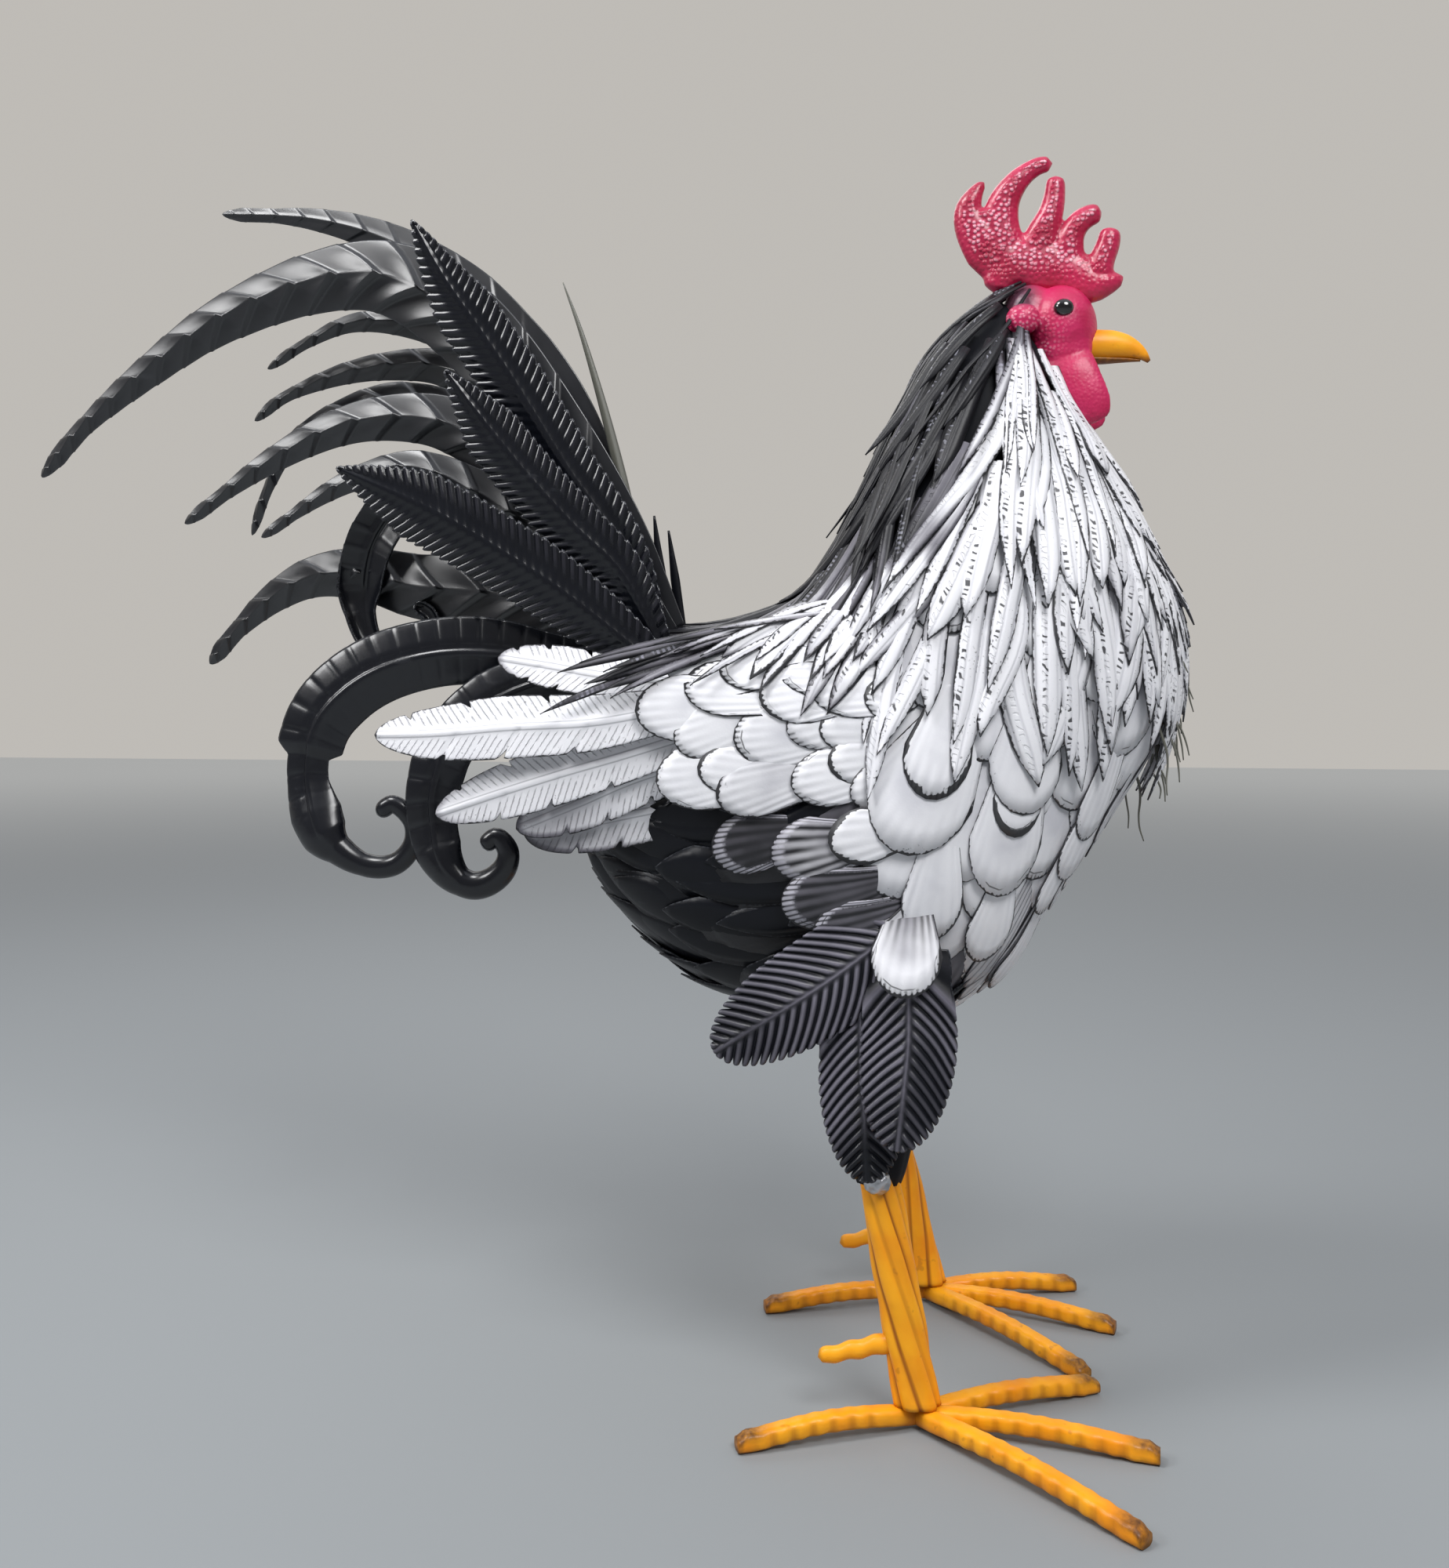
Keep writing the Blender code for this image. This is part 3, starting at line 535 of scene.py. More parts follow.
def lineLength(line):
    # the steps between a line's points, added up
    return np.linalg.norm(np.diff(line, axis=0), axis=1).sum()


def pathLength(points, count=60):
    # the length of the smooth curve through the points
    return lineLength(smoothPath(points, count))


def unit(vectors):
    # each vector scaled to length 1
    return vectors / np.maximum(np.linalg.norm(vectors, axis=-1, keepdims=True), 1e-9)


def onSide(place, side):
    # a left-hand place carried to the side, -1 right or 1 left
    return place[0], side * place[1], place[2]


def step(value, low, high):
    # 0 below low, 1 above high, smooth between
    t = np.clip((value - low) / (high - low), 0, 1)
    return t * t * (3 - 2 * t)


def turnsRound(count):
    # angles evenly round a section
    return np.linspace(0, 2 * math.pi, count, endpoint=False)[None, :]


def quads(rows, columns, around=False):
    # corner numbers of the quads in one grid; around joins the last column to the first
    r, c = np.meshgrid(np.arange(rows - 1), np.arange(columns if around else columns - 1), indexing="ij")
    n = (c + 1) % columns
    corners = [r * columns + c, r * columns + n, (r + 1) * columns + n, (r + 1) * columns + c]
    return np.stack(corners, -1).reshape(-1, 4)


def addMark(mesh, mark, values):
    # stores a number on each of the mesh's points
    layer = mesh.attributes.new(mark, "FLOAT", "POINT")
    layer.data.foreach_set("value", np.ascontiguousarray(values, np.float32).ravel())


def addPiece(name, points, faces, marks, paint, slot, replaced=()):
    # a painted piece on the one body; faces is a list of arrays of corner numbers, a row for each face
    mesh = bpy.data.meshes.new(name)
    corners = [face for group in faces for face in group.tolist()]
    mesh.from_pydata((points * mm + designOrigin).tolist(), [], corners)
    for mark, values in marks.items():
        addMark(mesh, mark, values)
    mesh.shade_smooth()
    mesh.materials.append(paints[paint])
    piece = newObject(name, mesh)
    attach(piece, "root")
    if replaced:
        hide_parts(*replaced)
    return piece


def addSheets(name, points, marks, paint, slot, thickness=0.8, replaced=(), offset=-1.0):
    # many sheets in one piece: points is (sheets, rows, columns, 3); a wall of the thickness in mm closes
    # each sheet, inwards or, at offset 0, both ways
    count, rows, columns = points.shape[:3]
    faces = (quads(rows, columns)[None] + np.arange(count)[:, None, None] * rows * columns).reshape(-1, 4)
    full = {mark: np.broadcast_to(values, points.shape[:3]) for mark, values in marks.items()}
    piece = addPiece(name, points.reshape(-1, 3), [faces], full, paint, slot, replaced)
    wall = piece.modifiers.new("sheet", "SOLIDIFY")
    wall.thickness = thickness * mm
    wall.offset = offset
    wall.use_even_offset = False


def tubeMesh(rings):
    # points and faces of a tube through rings (rows, around, 3), closed at both ends by a hub
    rows, around = rings.shape[:2]
    hubs = rows * around
    points = np.vstack([rings.reshape(-1, 3), rings[0].mean(0), rings[-1].mean(0)])
    first = np.arange(around)
    after = (first + 1) % around
    last = (rows - 1) * around
    faces = [quads(rows, around, True), np.column_stack([after, first, np.full(around, hubs)]),
             np.column_stack([last + first, last + after, np.full(around, hubs + 1)])]
    return points, faces


def joinMeshes(parts):
    # several meshes as one: their points in a row, and their faces' corner numbers moved up to match
    points, faces, used = [], [], 0
    for partPoints, partFaces in parts:
        points.append(partPoints)
        faces += [group + used for group in partFaces]
        used += len(partPoints)
    return np.vstack(points), faces


def roundedEnd(share, length, radius, power=2.6):
    # how much of its width a rod keeps near an end: nearly 0 there and 1 from one radius inwards
    return np.clip(1 - (1 - share * length / radius).clip(0, 1) ** power, 0.003, 1) ** (1 / power)


def pathTube(path, halfWide, halfThick, around=20, rows=24, roundEnds=(True, True)):
    # an oval profile carried along a path in an upright plane: halfWide lies in the plane across the path
    # and halfThick along y; round ends shrink the profile like a dome
    line = smoothPath(path, rows)
    share = np.linspace(0, 1, rows)
    stops = np.linspace(0, 1, len(path))
    wide = np.interp(share, stops, halfWide)
    thick = np.interp(share, stops, halfThick)
    length = lineLength(line)
    dome = np.ones(rows)
    if roundEnds[0]:
        dome *= roundedEnd(share, length, wide[0])
    if roundEnds[1]:
        dome *= roundedEnd(1 - share, length, wide[-1])
    tangent = unit(np.gradient(line, axis=0))
    across = unit(np.column_stack([-tangent[:, 2], np.zeros(rows), tangent[:, 0]]))
    turn = turnsRound(around)[..., None]
    rings = (line[:, None] + across[:, None] * (wide * dome)[:, None, None] * np.cos(turn)
             + np.array([0, 1.0, 0]) * (thick * dome)[:, None, None] * np.sin(turn))
    return tubeMesh(rings)


def ballMesh(centre, radii, rows=18, around=28):
    # a sphere by latitude and longitude, stretched to the radii
    up = np.linspace(-math.pi / 2, math.pi / 2, rows + 2)[1:-1, None]
    turn = turnsRound(around)
    rings = np.stack([np.cos(up) * np.cos(turn), np.cos(up) * np.sin(turn), np.sin(up) + 0 * turn], -1)
    points, faces = tubeMesh(rings)
    points[-2:] = [(0, 0, -1), (0, 0, 1)]
    return points * np.asarray(radii) + np.asarray(centre), faces


def melt(piece, voxel, passes):
    # fuses overlapping closed forms into one skin and smooths it, then keeps the result
    fuse = piece.modifiers.new("fuse", "REMESH")
    fuse.mode = "VOXEL"
    fuse.voxel_size = voxel * mm
    fuse.use_smooth_shade = True
    soften = piece.modifiers.new("soften", "SMOOTH")
    soften.iterations = passes
    soften.factor = 0.5
    graph = bpy.context.evaluated_depsgraph_get()
    graph.update()
    melted = bpy.data.meshes.new_from_object(piece.evaluated_get(graph))
    melted.name = piece.name
    if not melted.materials:
        melted.materials.append(piece.data.materials[0])
    piece.modifiers.clear()
    piece.data = melted
    melted.shade_smooth()
    points, normals = np.empty((2, len(melted.vertices) * 3))
    melted.vertices.foreach_get("co", points)
    melted.vertices.foreach_get("normal", normals)
    return (points.reshape(-1, 3) - designOrigin) / mm, normals.reshape(-1, 3)


# body

# ribs a few millimetres inside the CAD's, to leave room for the sheets, from the tail end to the neck:
# back x, back z, belly x, belly z, half width
bodyRibs = np.array([
    (-172, 347, -180, 274, 21), (-158, 365, -168, 244, 49), (-134, 371, -141, 211, 67),
    (-105, 373, -105, 186, 79), (-77, 380, -55, 174, 87), (-56.5, 392, -2, 174, 91),
    (-44, 408.5, 37, 197, 90), (-34, 429, 67, 239, 85), (-24, 450, 95, 283, 78),
    (-15, 470.5, 119, 322, 69), (-5.5, 490, 124, 366, 59), (3.5, 509, 113, 402, 48),
    (14.5, 523.5, 100, 436, 37.5), (26, 535, 87, 462, 27), (38, 544, 78, 484, 18),
    (51, 549.5, 84, 503, 15)], float)
bodyLook = {"ovalPower": 0.92, "shellInset": 4.0, "shellRibs": 14, "shellRows": 57, "shellAround": 56}
ribKnots = np.vstack([2 * bodyRibs[0] - bodyRibs[1], bodyRibs, 2 * bodyRibs[-1] - bodyRibs[-2]])


def ribAt(k):
    # Catmull-Rom between the ribs, k counting them from the tail end
    k = np.clip(k, 0, len(bodyRibs) - 1.0001)
    i = np.floor(k).astype(int)
    f = (k - i)[..., None]
    p0, p1, p2, p3 = (ribKnots[i + n] for n in range(4))
    return 0.5 * (2 * p1 + (p2 - p0) * f + (2 * p0 - 5 * p1 + 4 * p2 - p3) * f ** 2
                  + (3 * p1 - p0 - 3 * p2 + p3) * f ** 3)


def ovalAt(angle, power):
    # the cosine and sine of the angle, squarer the lower the power
    c, s = np.cos(angle), np.sin(angle)
    return np.sign(c) * np.abs(c) ** power, np.sign(s) * np.abs(s) ** power


def bodySkin(k, w, side, inset=0.0):
    # a point of an oval ring of the body, k along the ribs and w from -1 on the belly to 1 on the back,
    # and the middle of its rib
    backX, backZ, bellyX, bellyZ, half = np.moveaxis(ribAt(k), -1, 0)
    c, s = ovalAt(w * math.pi / 2, bodyLook["ovalPower"])
    core = np.stack([(backX + bellyX) / 2, np.zeros_like(half), (backZ + bellyZ) / 2], -1)
    up = np.stack([(backX - bellyX) / 2, np.zeros_like(half), (backZ - bellyZ) / 2], -1)
    shrunk = 1 - inset / np.maximum(np.linalg.norm(up, axis=-1), 1)
    out = np.stack([np.zeros_like(half), side * (half - inset) * c, np.zeros_like(half)], -1)
    return core + out + up * (s * shrunk)[..., None], core


wingLook = {"fromMiddle": 92.5, "bentAbove": 328, "bentBelow": 300, "bentAhead": -45}


def wingSkin(x, z, side):
    # the folded wing's outer face: nearly flat, bent in above, below and towards the shoulder
    above, below = np.maximum(0, z - wingLook["bentAbove"]), np.maximum(0, wingLook["bentBelow"] - z)
    y = wingLook["fromMiddle"] - 0.011 * above ** 2 - 0.006 * below ** 2
    y = y - 0.0045 * np.maximum(0, x - wingLook["bentAhead"]) ** 2
    point = np.stack([x, side * y, z], -1)
    return point, point * np.array([1, 0.5, 1])


midlineRows = 9


def slope(skin, a, b, side, nudgeA, nudgeB):
    # how a point of the skin moves with its parameters, by a small nudge both ways
    after, before = skin(a + nudgeA, b + nudgeB, side)[0], skin(a - nudgeA, b - nudgeB, side)[0]
    return (after - before) / (2 * (nudgeA + nudgeB))


def layOut(skin, start, side, heading, length, turning=0.0, backwards=False):
    # walks each sheet's midline over a skin: at each step the heading is pressed flat on the skin and both
    # skin parameters move by its share along each; turning is in radians for the whole walk
    a, b = np.array(start[0], float), np.array(start[1], float)
    heading = unit(np.broadcast_to(np.asarray(heading, float), (len(a), 3)))
    heading = -heading if backwards else heading
    stride = np.asarray(length, float) / (midlineRows - 1)
    nudge = 0.03 * (1.0 if skin is bodySkin else 30.0)
    turning = np.broadcast_to(turning, (len(a), midlineRows))
    kept = []
    for row in range(midlineRows):
        point, core = skin(a, b, side)
        alongA, alongB = slope(skin, a, b, side, nudge, 0.0), slope(skin, a, b, side, 0.0, nudge)
        out = unit(np.cross(alongA, alongB))
        out = out * np.sign((out * (point - core)).sum(-1, keepdims=True))
        heading = unit(heading - out * (heading * out).sum(-1, keepdims=True))
        kept.append((point, heading, out))
        moved = heading * stride[:, None]
        aa, ab, bb = (alongA ** 2).sum(-1), (alongA * alongB).sum(-1), (alongB ** 2).sum(-1)
        ma, mb = (alongA * moved).sum(-1), (alongB * moved).sum(-1)
        scaleDown = aa * bb - ab ** 2
        a = a + (bb * ma - ab * mb) / scaleDown
        b = b + (aa * mb - ab * ma) / scaleDown
        heading = unit(heading + np.cross(out, heading) * (turning[:, row] / midlineRows)[:, None])
    points, ahead, out = (np.stack(column, 1) for column in zip(*kept))
    if backwards:
        points, ahead, out = points[:, ::-1], -ahead[:, ::-1], out[:, ::-1]
    return points, ahead, out


def swayAlong(strength):
    # turning for layOut that bends each sheet one way and then back
    return strength[:, None] * np.cos(np.linspace(0, math.pi, midlineRows))[None, :]


def headingAt(angle):
    # a direction in the side view: 0 to the tail, a quarter turn straight down
    return np.stack([-np.cos(angle), np.zeros(len(angle)), -np.sin(angle)], -1)


def onFrames(frames, share, aside, lift, bend=85.0):
    # points of the sheets from their midline frames: share of the length, millimetres aside and lifted,
    # and dropped aside of the midline like a circle of radius bend
    points, ahead, out = frames
    rows = points.shape[1]
    at = np.clip(share, 0, 1) * (rows - 1)
    i = np.minimum(np.floor(at).astype(int), rows - 2)
    f = (at - i)[..., None]
    sheet = np.arange(points.shape[0])[:, None, None]
    point = points[sheet, i] * (1 - f) + points[sheet, i + 1] * f
    forward = unit(ahead[sheet, i] * (1 - f) + ahead[sheet, i + 1] * f)
    outward = unit(out[sheet, i] * (1 - f) + out[sheet, i + 1] * f)
    across = np.cross(forward, outward)
    drop = aside ** 2 / (2 * np.asarray(bend))
    return point + across * aside[..., None] + outward * (lift - drop)[..., None]


def bodyShell():
    # a dark closed shell under the sheets, drawn in from the body's skin
    k = np.linspace(0, bodyLook["shellRibs"], bodyLook["shellRows"])
    turn = np.linspace(-1, 3, bodyLook["shellAround"], endpoint=False)
    kk, ww = np.meshgrid(k, turn, indexing="ij")
    rings = bodySkin(kk, ww, 1.0, bodyLook["shellInset"])[0]
    addPiece("inner_shell", *tubeMesh(rings[:, ::-1]), {}, "shell", "black_paint", ("body",))


bodyShell()
print("inner shell made")


# sheets on the body: long strips and rounded petals

def blade(share, tipStart, rootWidth=0.35, belly=0.35):
    # half width along a feather as a share of its widest: narrow root, full middle, long point
    grow = rootWidth + (1 - rootWidth) * np.sin(np.clip(share / belly, 0, 1) * math.pi / 2)
    fall = np.clip((1 - share) / (1 - tipStart), 0, 1) ** 0.75
    return np.maximum(grow * fall, 0.035)


stripGrid = {"rows": 11, "columns": 5, "narrowRoot": 0.68, "widestAt": 0.4}


def stripSheets(name, frames, length, width, tone, flare, slot, paint="strip", cup=0.26, rim=0.45,
                base=1.0, climb=3.5, tipStart=0.74, bend=70.0, bow=1.0):
    # lance-shaped strips: cupped across like a halved reed, lifted from base by climb along a curve of
    # power bow, and flared at the tip
    count = len(length)
    share = np.linspace(0, 1, stripGrid["rows"])[None, :, None]
    t = np.linspace(-1, 1, stripGrid["columns"])
    outline = blade(share, tipStart, stripGrid["narrowRoot"], stripGrid["widestAt"])
    half = width[:, None, None] / 2 * outline
    aside = half * t
    shares = np.broadcast_to(share, aside.shape)
    roll = rng.normal(0, 0.13, count)[:, None, None]
    lift = base + climb * shares ** bow + cup * half * (1 - t ** 2)
    lift = lift + flare[:, None, None] * shares ** 3 + roll * aside
    points = onFrames(frames, shares, aside, lift, bend)
    long = length[:, None, None]
    edge = np.minimum(half * (1 - np.abs(t)), long * (1 - shares) * 0.5)
    seed = rng.random(count)[:, None, None]
    rims = rim * rng.uniform(0.5, 1.7, count)[:, None, None]
    marks = {"edge": edge, "along": shares * long, "aside": aside, "tone": tone, "seed": seed, "rim": rims,
             "ridge": 0.0, "grooved": 0.0}
    addSheets(name, points, marks, paint, slot)


petalGrid = {"rows": 7, "columns": 11, "rim": 0.6}


def petalSheets(name, frames, length, width, tone, paint="petal", rim=None, grooved=None, base=1.0,
                climb=4.0, dish=0.4, bend=80.0, roundness=1.3, narrow=0.5):
    # rounded pale petals: columns fan from a narrow root to an oval end whose depth is roundness
    # half widths; rows run from the root line to the rim
    count = len(length)
    r = np.linspace(0, 1, petalGrid["rows"])[None, :, None]
    fan = np.linspace(-1, 1, petalGrid["columns"])[None, None, :]
    half = width[:, None, None] / 2
    long = length[:, None, None]
    end = np.minimum(half * roundness, long * 0.8)
    rimAside = half * np.sin(fan * math.pi / 2)
    rimAlong = long - end * (1 - np.cos(fan * math.pi / 2))
    aside = half * narrow * fan * (1 - r) + rimAside * r
    along = rimAlong * r
    lift = base + climb * along / long + dish * np.sin(r * math.pi) - 0.5 * r ** 4
    points = onFrames(frames, along / long, aside, lift, bend)
    reach = np.hypot(rimAlong, rimAside - half * narrow * fan)
    edge = np.minimum((1 - r) * reach, (1 - np.abs(fan)) * half * 1.6)
    seed = rng.random(count)[:, None, None]
    rim = np.full(count, petalGrid["rim"]) if rim is None else rim
    grooved = rng.random(count) if grooved is None else grooved
    marks = {"edge": edge, "along": along, "aside": fan * half * 1.35, "tone": tone, "seed": seed,
             "rim": rim[:, None, None], "grooved": grooved[:, None, None], "ridge": 0.0}
    addSheets(name, points, marks, paint, "white_paint")


def darkness(k, w):
    # how dark the bird is at a place: black nape, saddle and rear flank, white side and breast
    edge = 0.28 + 0.10 * (9 - k).clip(0, 3)
    rear = 1 - step(k + 1.7 * w.clip(-0.7, 0), 3.75, 4.5)
    return np.maximum(step(w, edge - 0.08, edge + 0.08), rear * (w < 0.2))


def bothSides(*columns):
    # repeats every column for the right side (-1) and the left side (1)
    doubled = [np.concatenate([column, column]) for column in columns]
    side = np.concatenate([-np.ones(len(columns[0])), np.ones(len(columns[0]))])
    return (*doubled, side)


def flowDown(k, w, side):
    # the direction of falling rib number, which is how the feathers lie
    nudge = 0.05
    return unit(bodySkin(k - nudge, w, side)[0] - bodySkin(k + nudge, w, side)[0])


hackleLook = {
    # rows from the bottom up: height from the lowest row (0) to the topmost (1), strips each side,
    # length, width, layer; the broad under strips come first
    "underRows": [
        (0.04, 11, 80, 24, -1.5), (0.32, 12, 80, 23, -0.8), (0.60, 11, 72, 20, 0.4), (0.84, 9, 56, 17, 2.0)],
    "rows": [
        (0.0, 18, 84, 15, 0.4), (0.16, 18, 94, 15, 1.0), (0.34, 18, 102, 14.5, 1.8),
        (0.52, 18, 106, 13.5, 2.6), (0.70, 18, 116, 12, 3.4), (0.85, 16, 120, 11, 4.0),
        (0.96, 14, 116, 9.5, 4.6), (1.0, 12, 96, 7.4, 5.2)],
    # where the neck turns from white in front to black behind: height, and how far forward black comes
    "napeLine": [(385, -60), (396, -20), (404, 0), (440, 14), (472, 25), (500, 37), (520, 50), (540, 64)],
    # rib numbers of the lowest row at the side, its rise in front and fall behind, and of the topmost
    "sideRib": 8.2, "frontRise": 2.3, "backFall": 2.6, "topRib": 13.95, "napeRise": 1.05,
    # smallest and largest share of a row's length and width, and how much narrower the nape's are
    "lengths": (0.75, 1.12), "widths": (0.66, 1.18), "napeNarrower": 0.50, "underNarrower": 0.42,
    # shares of the dark strips that are left out, more in the hollow of the neck, and that are grey
    "leftOut": 0.28, "leftOutInHollow": 0.45, "greyStrips": 0.36,
    "base": 1.6, "climb": 5.0, "napeClimb": 2.4, "whiteCup": 0.26, "darkCup": 0.38,
}


def hackleStrips():
    # every strip's root, size, flare, turning and layer, row by row; nape and throat say how far round to
    # the back and to the front it sits
    look = hackleLook
    columns = []
    for rank, (height, count, length, width, over) in enumerate(look["underRows"] + look["rows"]):
        under = np.full(count, float(rank < len(look["underRows"])))
        w = (np.arange(count) + 0.5 + (0.5 if rank % 2 else 0)) / count * 2 - 1
        w = np.clip(w + rng.normal(0, 0.014, count), -1.02, 1.02)
        lowest = look["sideRib"] + look["frontRise"] * step(-w, -0.05, 0.55)
        lowest = lowest - look["backFall"] * np.maximum(w, 0)
        nape, throat = step(w, 0.18, 0.45), step(-w, 0.70, 0.95)
        top = look["topRib"] + look["napeRise"] * nape
        root = np.minimum(lowest + (top - lowest) * height + rng.normal(0, 0.22, count), top - 0.01 * nape)
        long = length * rng.uniform(*look["lengths"], count) * (1 + 0.12 * nape)
        wide = width * rng.uniform(*look["widths"], count) * (1 - look["napeNarrower"] * nape)
        wide = wide * (1 - look["underNarrower"] * under * step(w, -0.45, 0.0) * (1 - nape))
        wire = (rng.random(count) < 0.10) * nape * 7
        flare = rng.uniform(0, 2.0, count) * (1 - 0.5 * nape) + 7 * throat * rng.random(count) ** 3 + wire
        turning = rng.normal(0, 0.14, count)
        layer = over + rng.uniform(0, 1.6, count)
        columns.append(np.column_stack([root, w, long, wide, flare, turning, layer, under]))
    return bothSides(*np.vstack(columns).T)


def hackleShades(root, w, under, midlines):
    # how dark a strip is in all, whether it is left out, and its tone from white in front to black
    # behind, with some greys and paler tips among the dark ones
    look = hackleLook
    count = len(root)
    spot = midlines[:, np.linspace(0, midlineRows - 1, stripGrid["rows"]).round().astype(int)]
    behind = np.interp(spot[..., 2], *np.array(look["napeLine"], float).T) - spot[..., 0]
    shading = np.maximum(step(behind, -15, 10), step(w, 0.55, 0.70)[:, None])
    dark = shading[:, 3:].mean(1)
    hollow = step(w, 0.10, 0.22) * step(-w, -0.62, -0.50) * step(root, 9.0, 10.5)
    spare = rng.random(count) < look["leftOut"] + look["leftOutInHollow"] * hollow
    sparse = (dark > 0.6) & (under == 0) & spare
    grey = rng.random(count) < look["greyStrips"]
    greys = np.where(grey, rng.uniform(0.48, 0.66, count), rng.uniform(0.84, 1.0, count))
    tone = shading * np.where(under > 0, 1.0, greys)[:, None] + 0.16 * rng.random(count)[:, None] ** 3
    share = np.linspace(0, 1, stripGrid["rows"])[None, :, None]
    tone = np.clip(tone[..., None] + 0.14 * (1 - share) * rng.random(count)[:, None, None], 0, 1)
    return dark, sparse, tone


def hackle():
    # rows of strips from the shoulders up to the head, hanging at the sides and lying back on the nape;
    # the white ones and the dark ones are two pieces
    look = hackleLook
    root, w, long, wide, flare, turning, layer, under, side = hackleStrips()
    hang = ((0.75 + 0.20 * step(root, 12.0, 13.2)) * step(-w, -0.60, -0.44))[:, None]
    downwards = np.stack([0.08 - 0.40 * step(w, -0.10, 0.35), 0 * w, -np.ones(len(w))], -1)
    heading = unit(flowDown(root, w, side) * (1 - hang) + downwards * hang)
    heading[:, 0] += rng.normal(0, 0.045, len(root)) - 0.4 * turning
    loose = 0.75 * (1 - 0.6 * step(root, 11.0, 13.0))
    sway = swayAlong(rng.normal(0, 1, len(root)) * loose)
    frames = layOut(bodySkin, (root, w), side, heading, long, (turning * side)[:, None] + sway)
    dark, sparse, tone = hackleShades(root, w, under, frames[0])
    rising = (look["climb"] - look["napeClimb"] * step(w, 0.18, 0.45))[:, None, None]
    flare = flare + layer * 0.3
    kinds = (("hackle_white", dark <= 0.5, "white_paint", look["whiteCup"]),
             ("hackle_dark", (dark > 0.5) & ~sparse, "black_paint", look["darkCup"]))
    for name, chosen, slot, cup in kinds:
        part = tuple(column[chosen] for column in frames)
        stripSheets(name, part, long[chosen], wide[chosen], tone[chosen], flare[chosen], slot,
                    base=look["base"], climb=rising[chosen], cup=cup)


saddleLook = {
    "count": 84, "ribs": (2.6, 7.8), "lengths": (80, 120), "widths": (5.5, 9.5), "shades": (0.62, 1.0),
}


def saddle():
    # long dark strips lying back over the saddle to the tail
    count = saddleLook["count"]
    k = rng.uniform(*saddleLook["ribs"], count)
    w = 0.30 + 0.70 * rng.random(count) ** 0.8
    k = k - 1.3 * np.maximum(0.55 - w, 0) * 2
    long = rng.uniform(*saddleLook["lengths"], count) * (0.35 + 0.65 * step(k, 1.5, 5))
    wide = rng.uniform(*saddleLook["widths"], count)
    shade = rng.uniform(*saddleLook["shades"], count) * (0.6 + 0.4 * step(w, 0.36, 0.62))
    k, w, long, wide, shade, side = bothSides(np.maximum(k, 1.6), w, long, wide, shade)
    heading = flowDown(k, w, side)
    heading[:, 2] += rng.normal(0, 0.06, len(k))
    frames = layOut(bodySkin, (k, w), side, heading, long)
    stripSheets("saddle_strips", frames, long, wide, shade[:, None, None], rng.uniform(0, 2.5, len(k)),
                "black_paint", base=1.2, climb=2.6)


# strips over the top of the wing: x and z of the first, and how far the last is from it
wingStripLook = {
    "count": 15, "first": (-88, 366), "across": (58, 21), "lengths": (66, 100), "widths": (3.8, 6.2),
    "slants": (14, 27), "rearShades": [0.5, 0.62, 0.95], "frontShades": [0.1, 0.2, 0.35, 0.6],
}
shoulderStripLook = {
    "count": 13, "first": (-44, 384), "across": (50, 10), "lengths": (58, 84), "widths": (8.5, 12.5),
    "slant": 36, "moreSlant": 34, "shades": (0.04, 0.20),
}


def acrossWing(look, spread):
    # the strips' shares from the first to the last and their places, a little scattered
    share = np.linspace(0, 1, look["count"])
    x = look["first"][0] + look["across"][0] * share + rng.normal(0, 3, look["count"])
    z = look["first"][1] + look["across"][1] * share + rng.uniform(*spread, look["count"])
    return share, x, z


def wingHeading(slant, z, side):
    # back and down by the slant, bent outwards with the wing's top
    outwards = side * np.sin(slant) * 0.022 * np.maximum(0, z - wingLook["bentAbove"])
    return np.column_stack([-np.cos(slant), outwards, -np.sin(slant)])


def wingStrips():
    # pale and dark narrow strips that slant back from the shoulder over the top of the wing
    look, count = wingStripLook, wingStripLook["count"]
    share, x, z = acrossWing(look, (-7, 2))
    long, wide = rng.uniform(*look["lengths"], count), rng.uniform(*look["widths"], count)
    rear, front = rng.choice(look["rearShades"], count), rng.choice(look["frontShades"], count)
    shade = np.where(share < 0.5, rear, front)
    slant = np.radians(rng.uniform(*look["slants"], count))
    x, z, long, wide, shade, slant, side = bothSides(x, z, long, wide, shade, slant)
    sway = swayAlong(rng.normal(0, 0.25, len(x)))
    frames = layOut(wingSkin, (x, z), side, wingHeading(slant, z, side), long, sway)
    stripSheets("wing_strips", frames, long, wide, shade[:, None, None], rng.uniform(0, 3, len(x)),
                "white_paint", base=-7.0, climb=14.0, bend=120.0, bow=0.35)


def shoulderStrips():
    # pale broader strips that fall from the shoulder over the top of the wing, steeper to the front
    look, count = shoulderStripLook, shoulderStripLook["count"]
    share, x, z = acrossWing(look, (-6, 6))
    long, wide = rng.uniform(*look["lengths"], count), rng.uniform(*look["widths"], count)
    slant = np.radians(look["slant"] + look["moreSlant"] * share + rng.uniform(-6, 6, count))
    x, z, long, wide, slant, side = bothSides(x, z, long, wide, slant)
    sway = swayAlong(rng.normal(0, 0.4, len(x)))
    frames = layOut(wingSkin, (x, z), side, wingHeading(slant, z, side), long, sway)
    tone = rng.uniform(*look["shades"], len(x))[:, None, None]
    stripSheets("shoulder_strips", frames, long, wide, tone, rng.uniform(0, 3, len(x)), "white_paint",
                base=-5.0, climb=9.5, bend=110.0, bow=0.4, rim=0.8)


# x and z along each spike, distance from the middle, width
tailSpikeLook = [
    ([(-131, 372), (-134, 396), (-138, 432)], -20, 6.0), ([(-125, 374), (-128, 396), (-132, 425)], -12, 5.0),
]


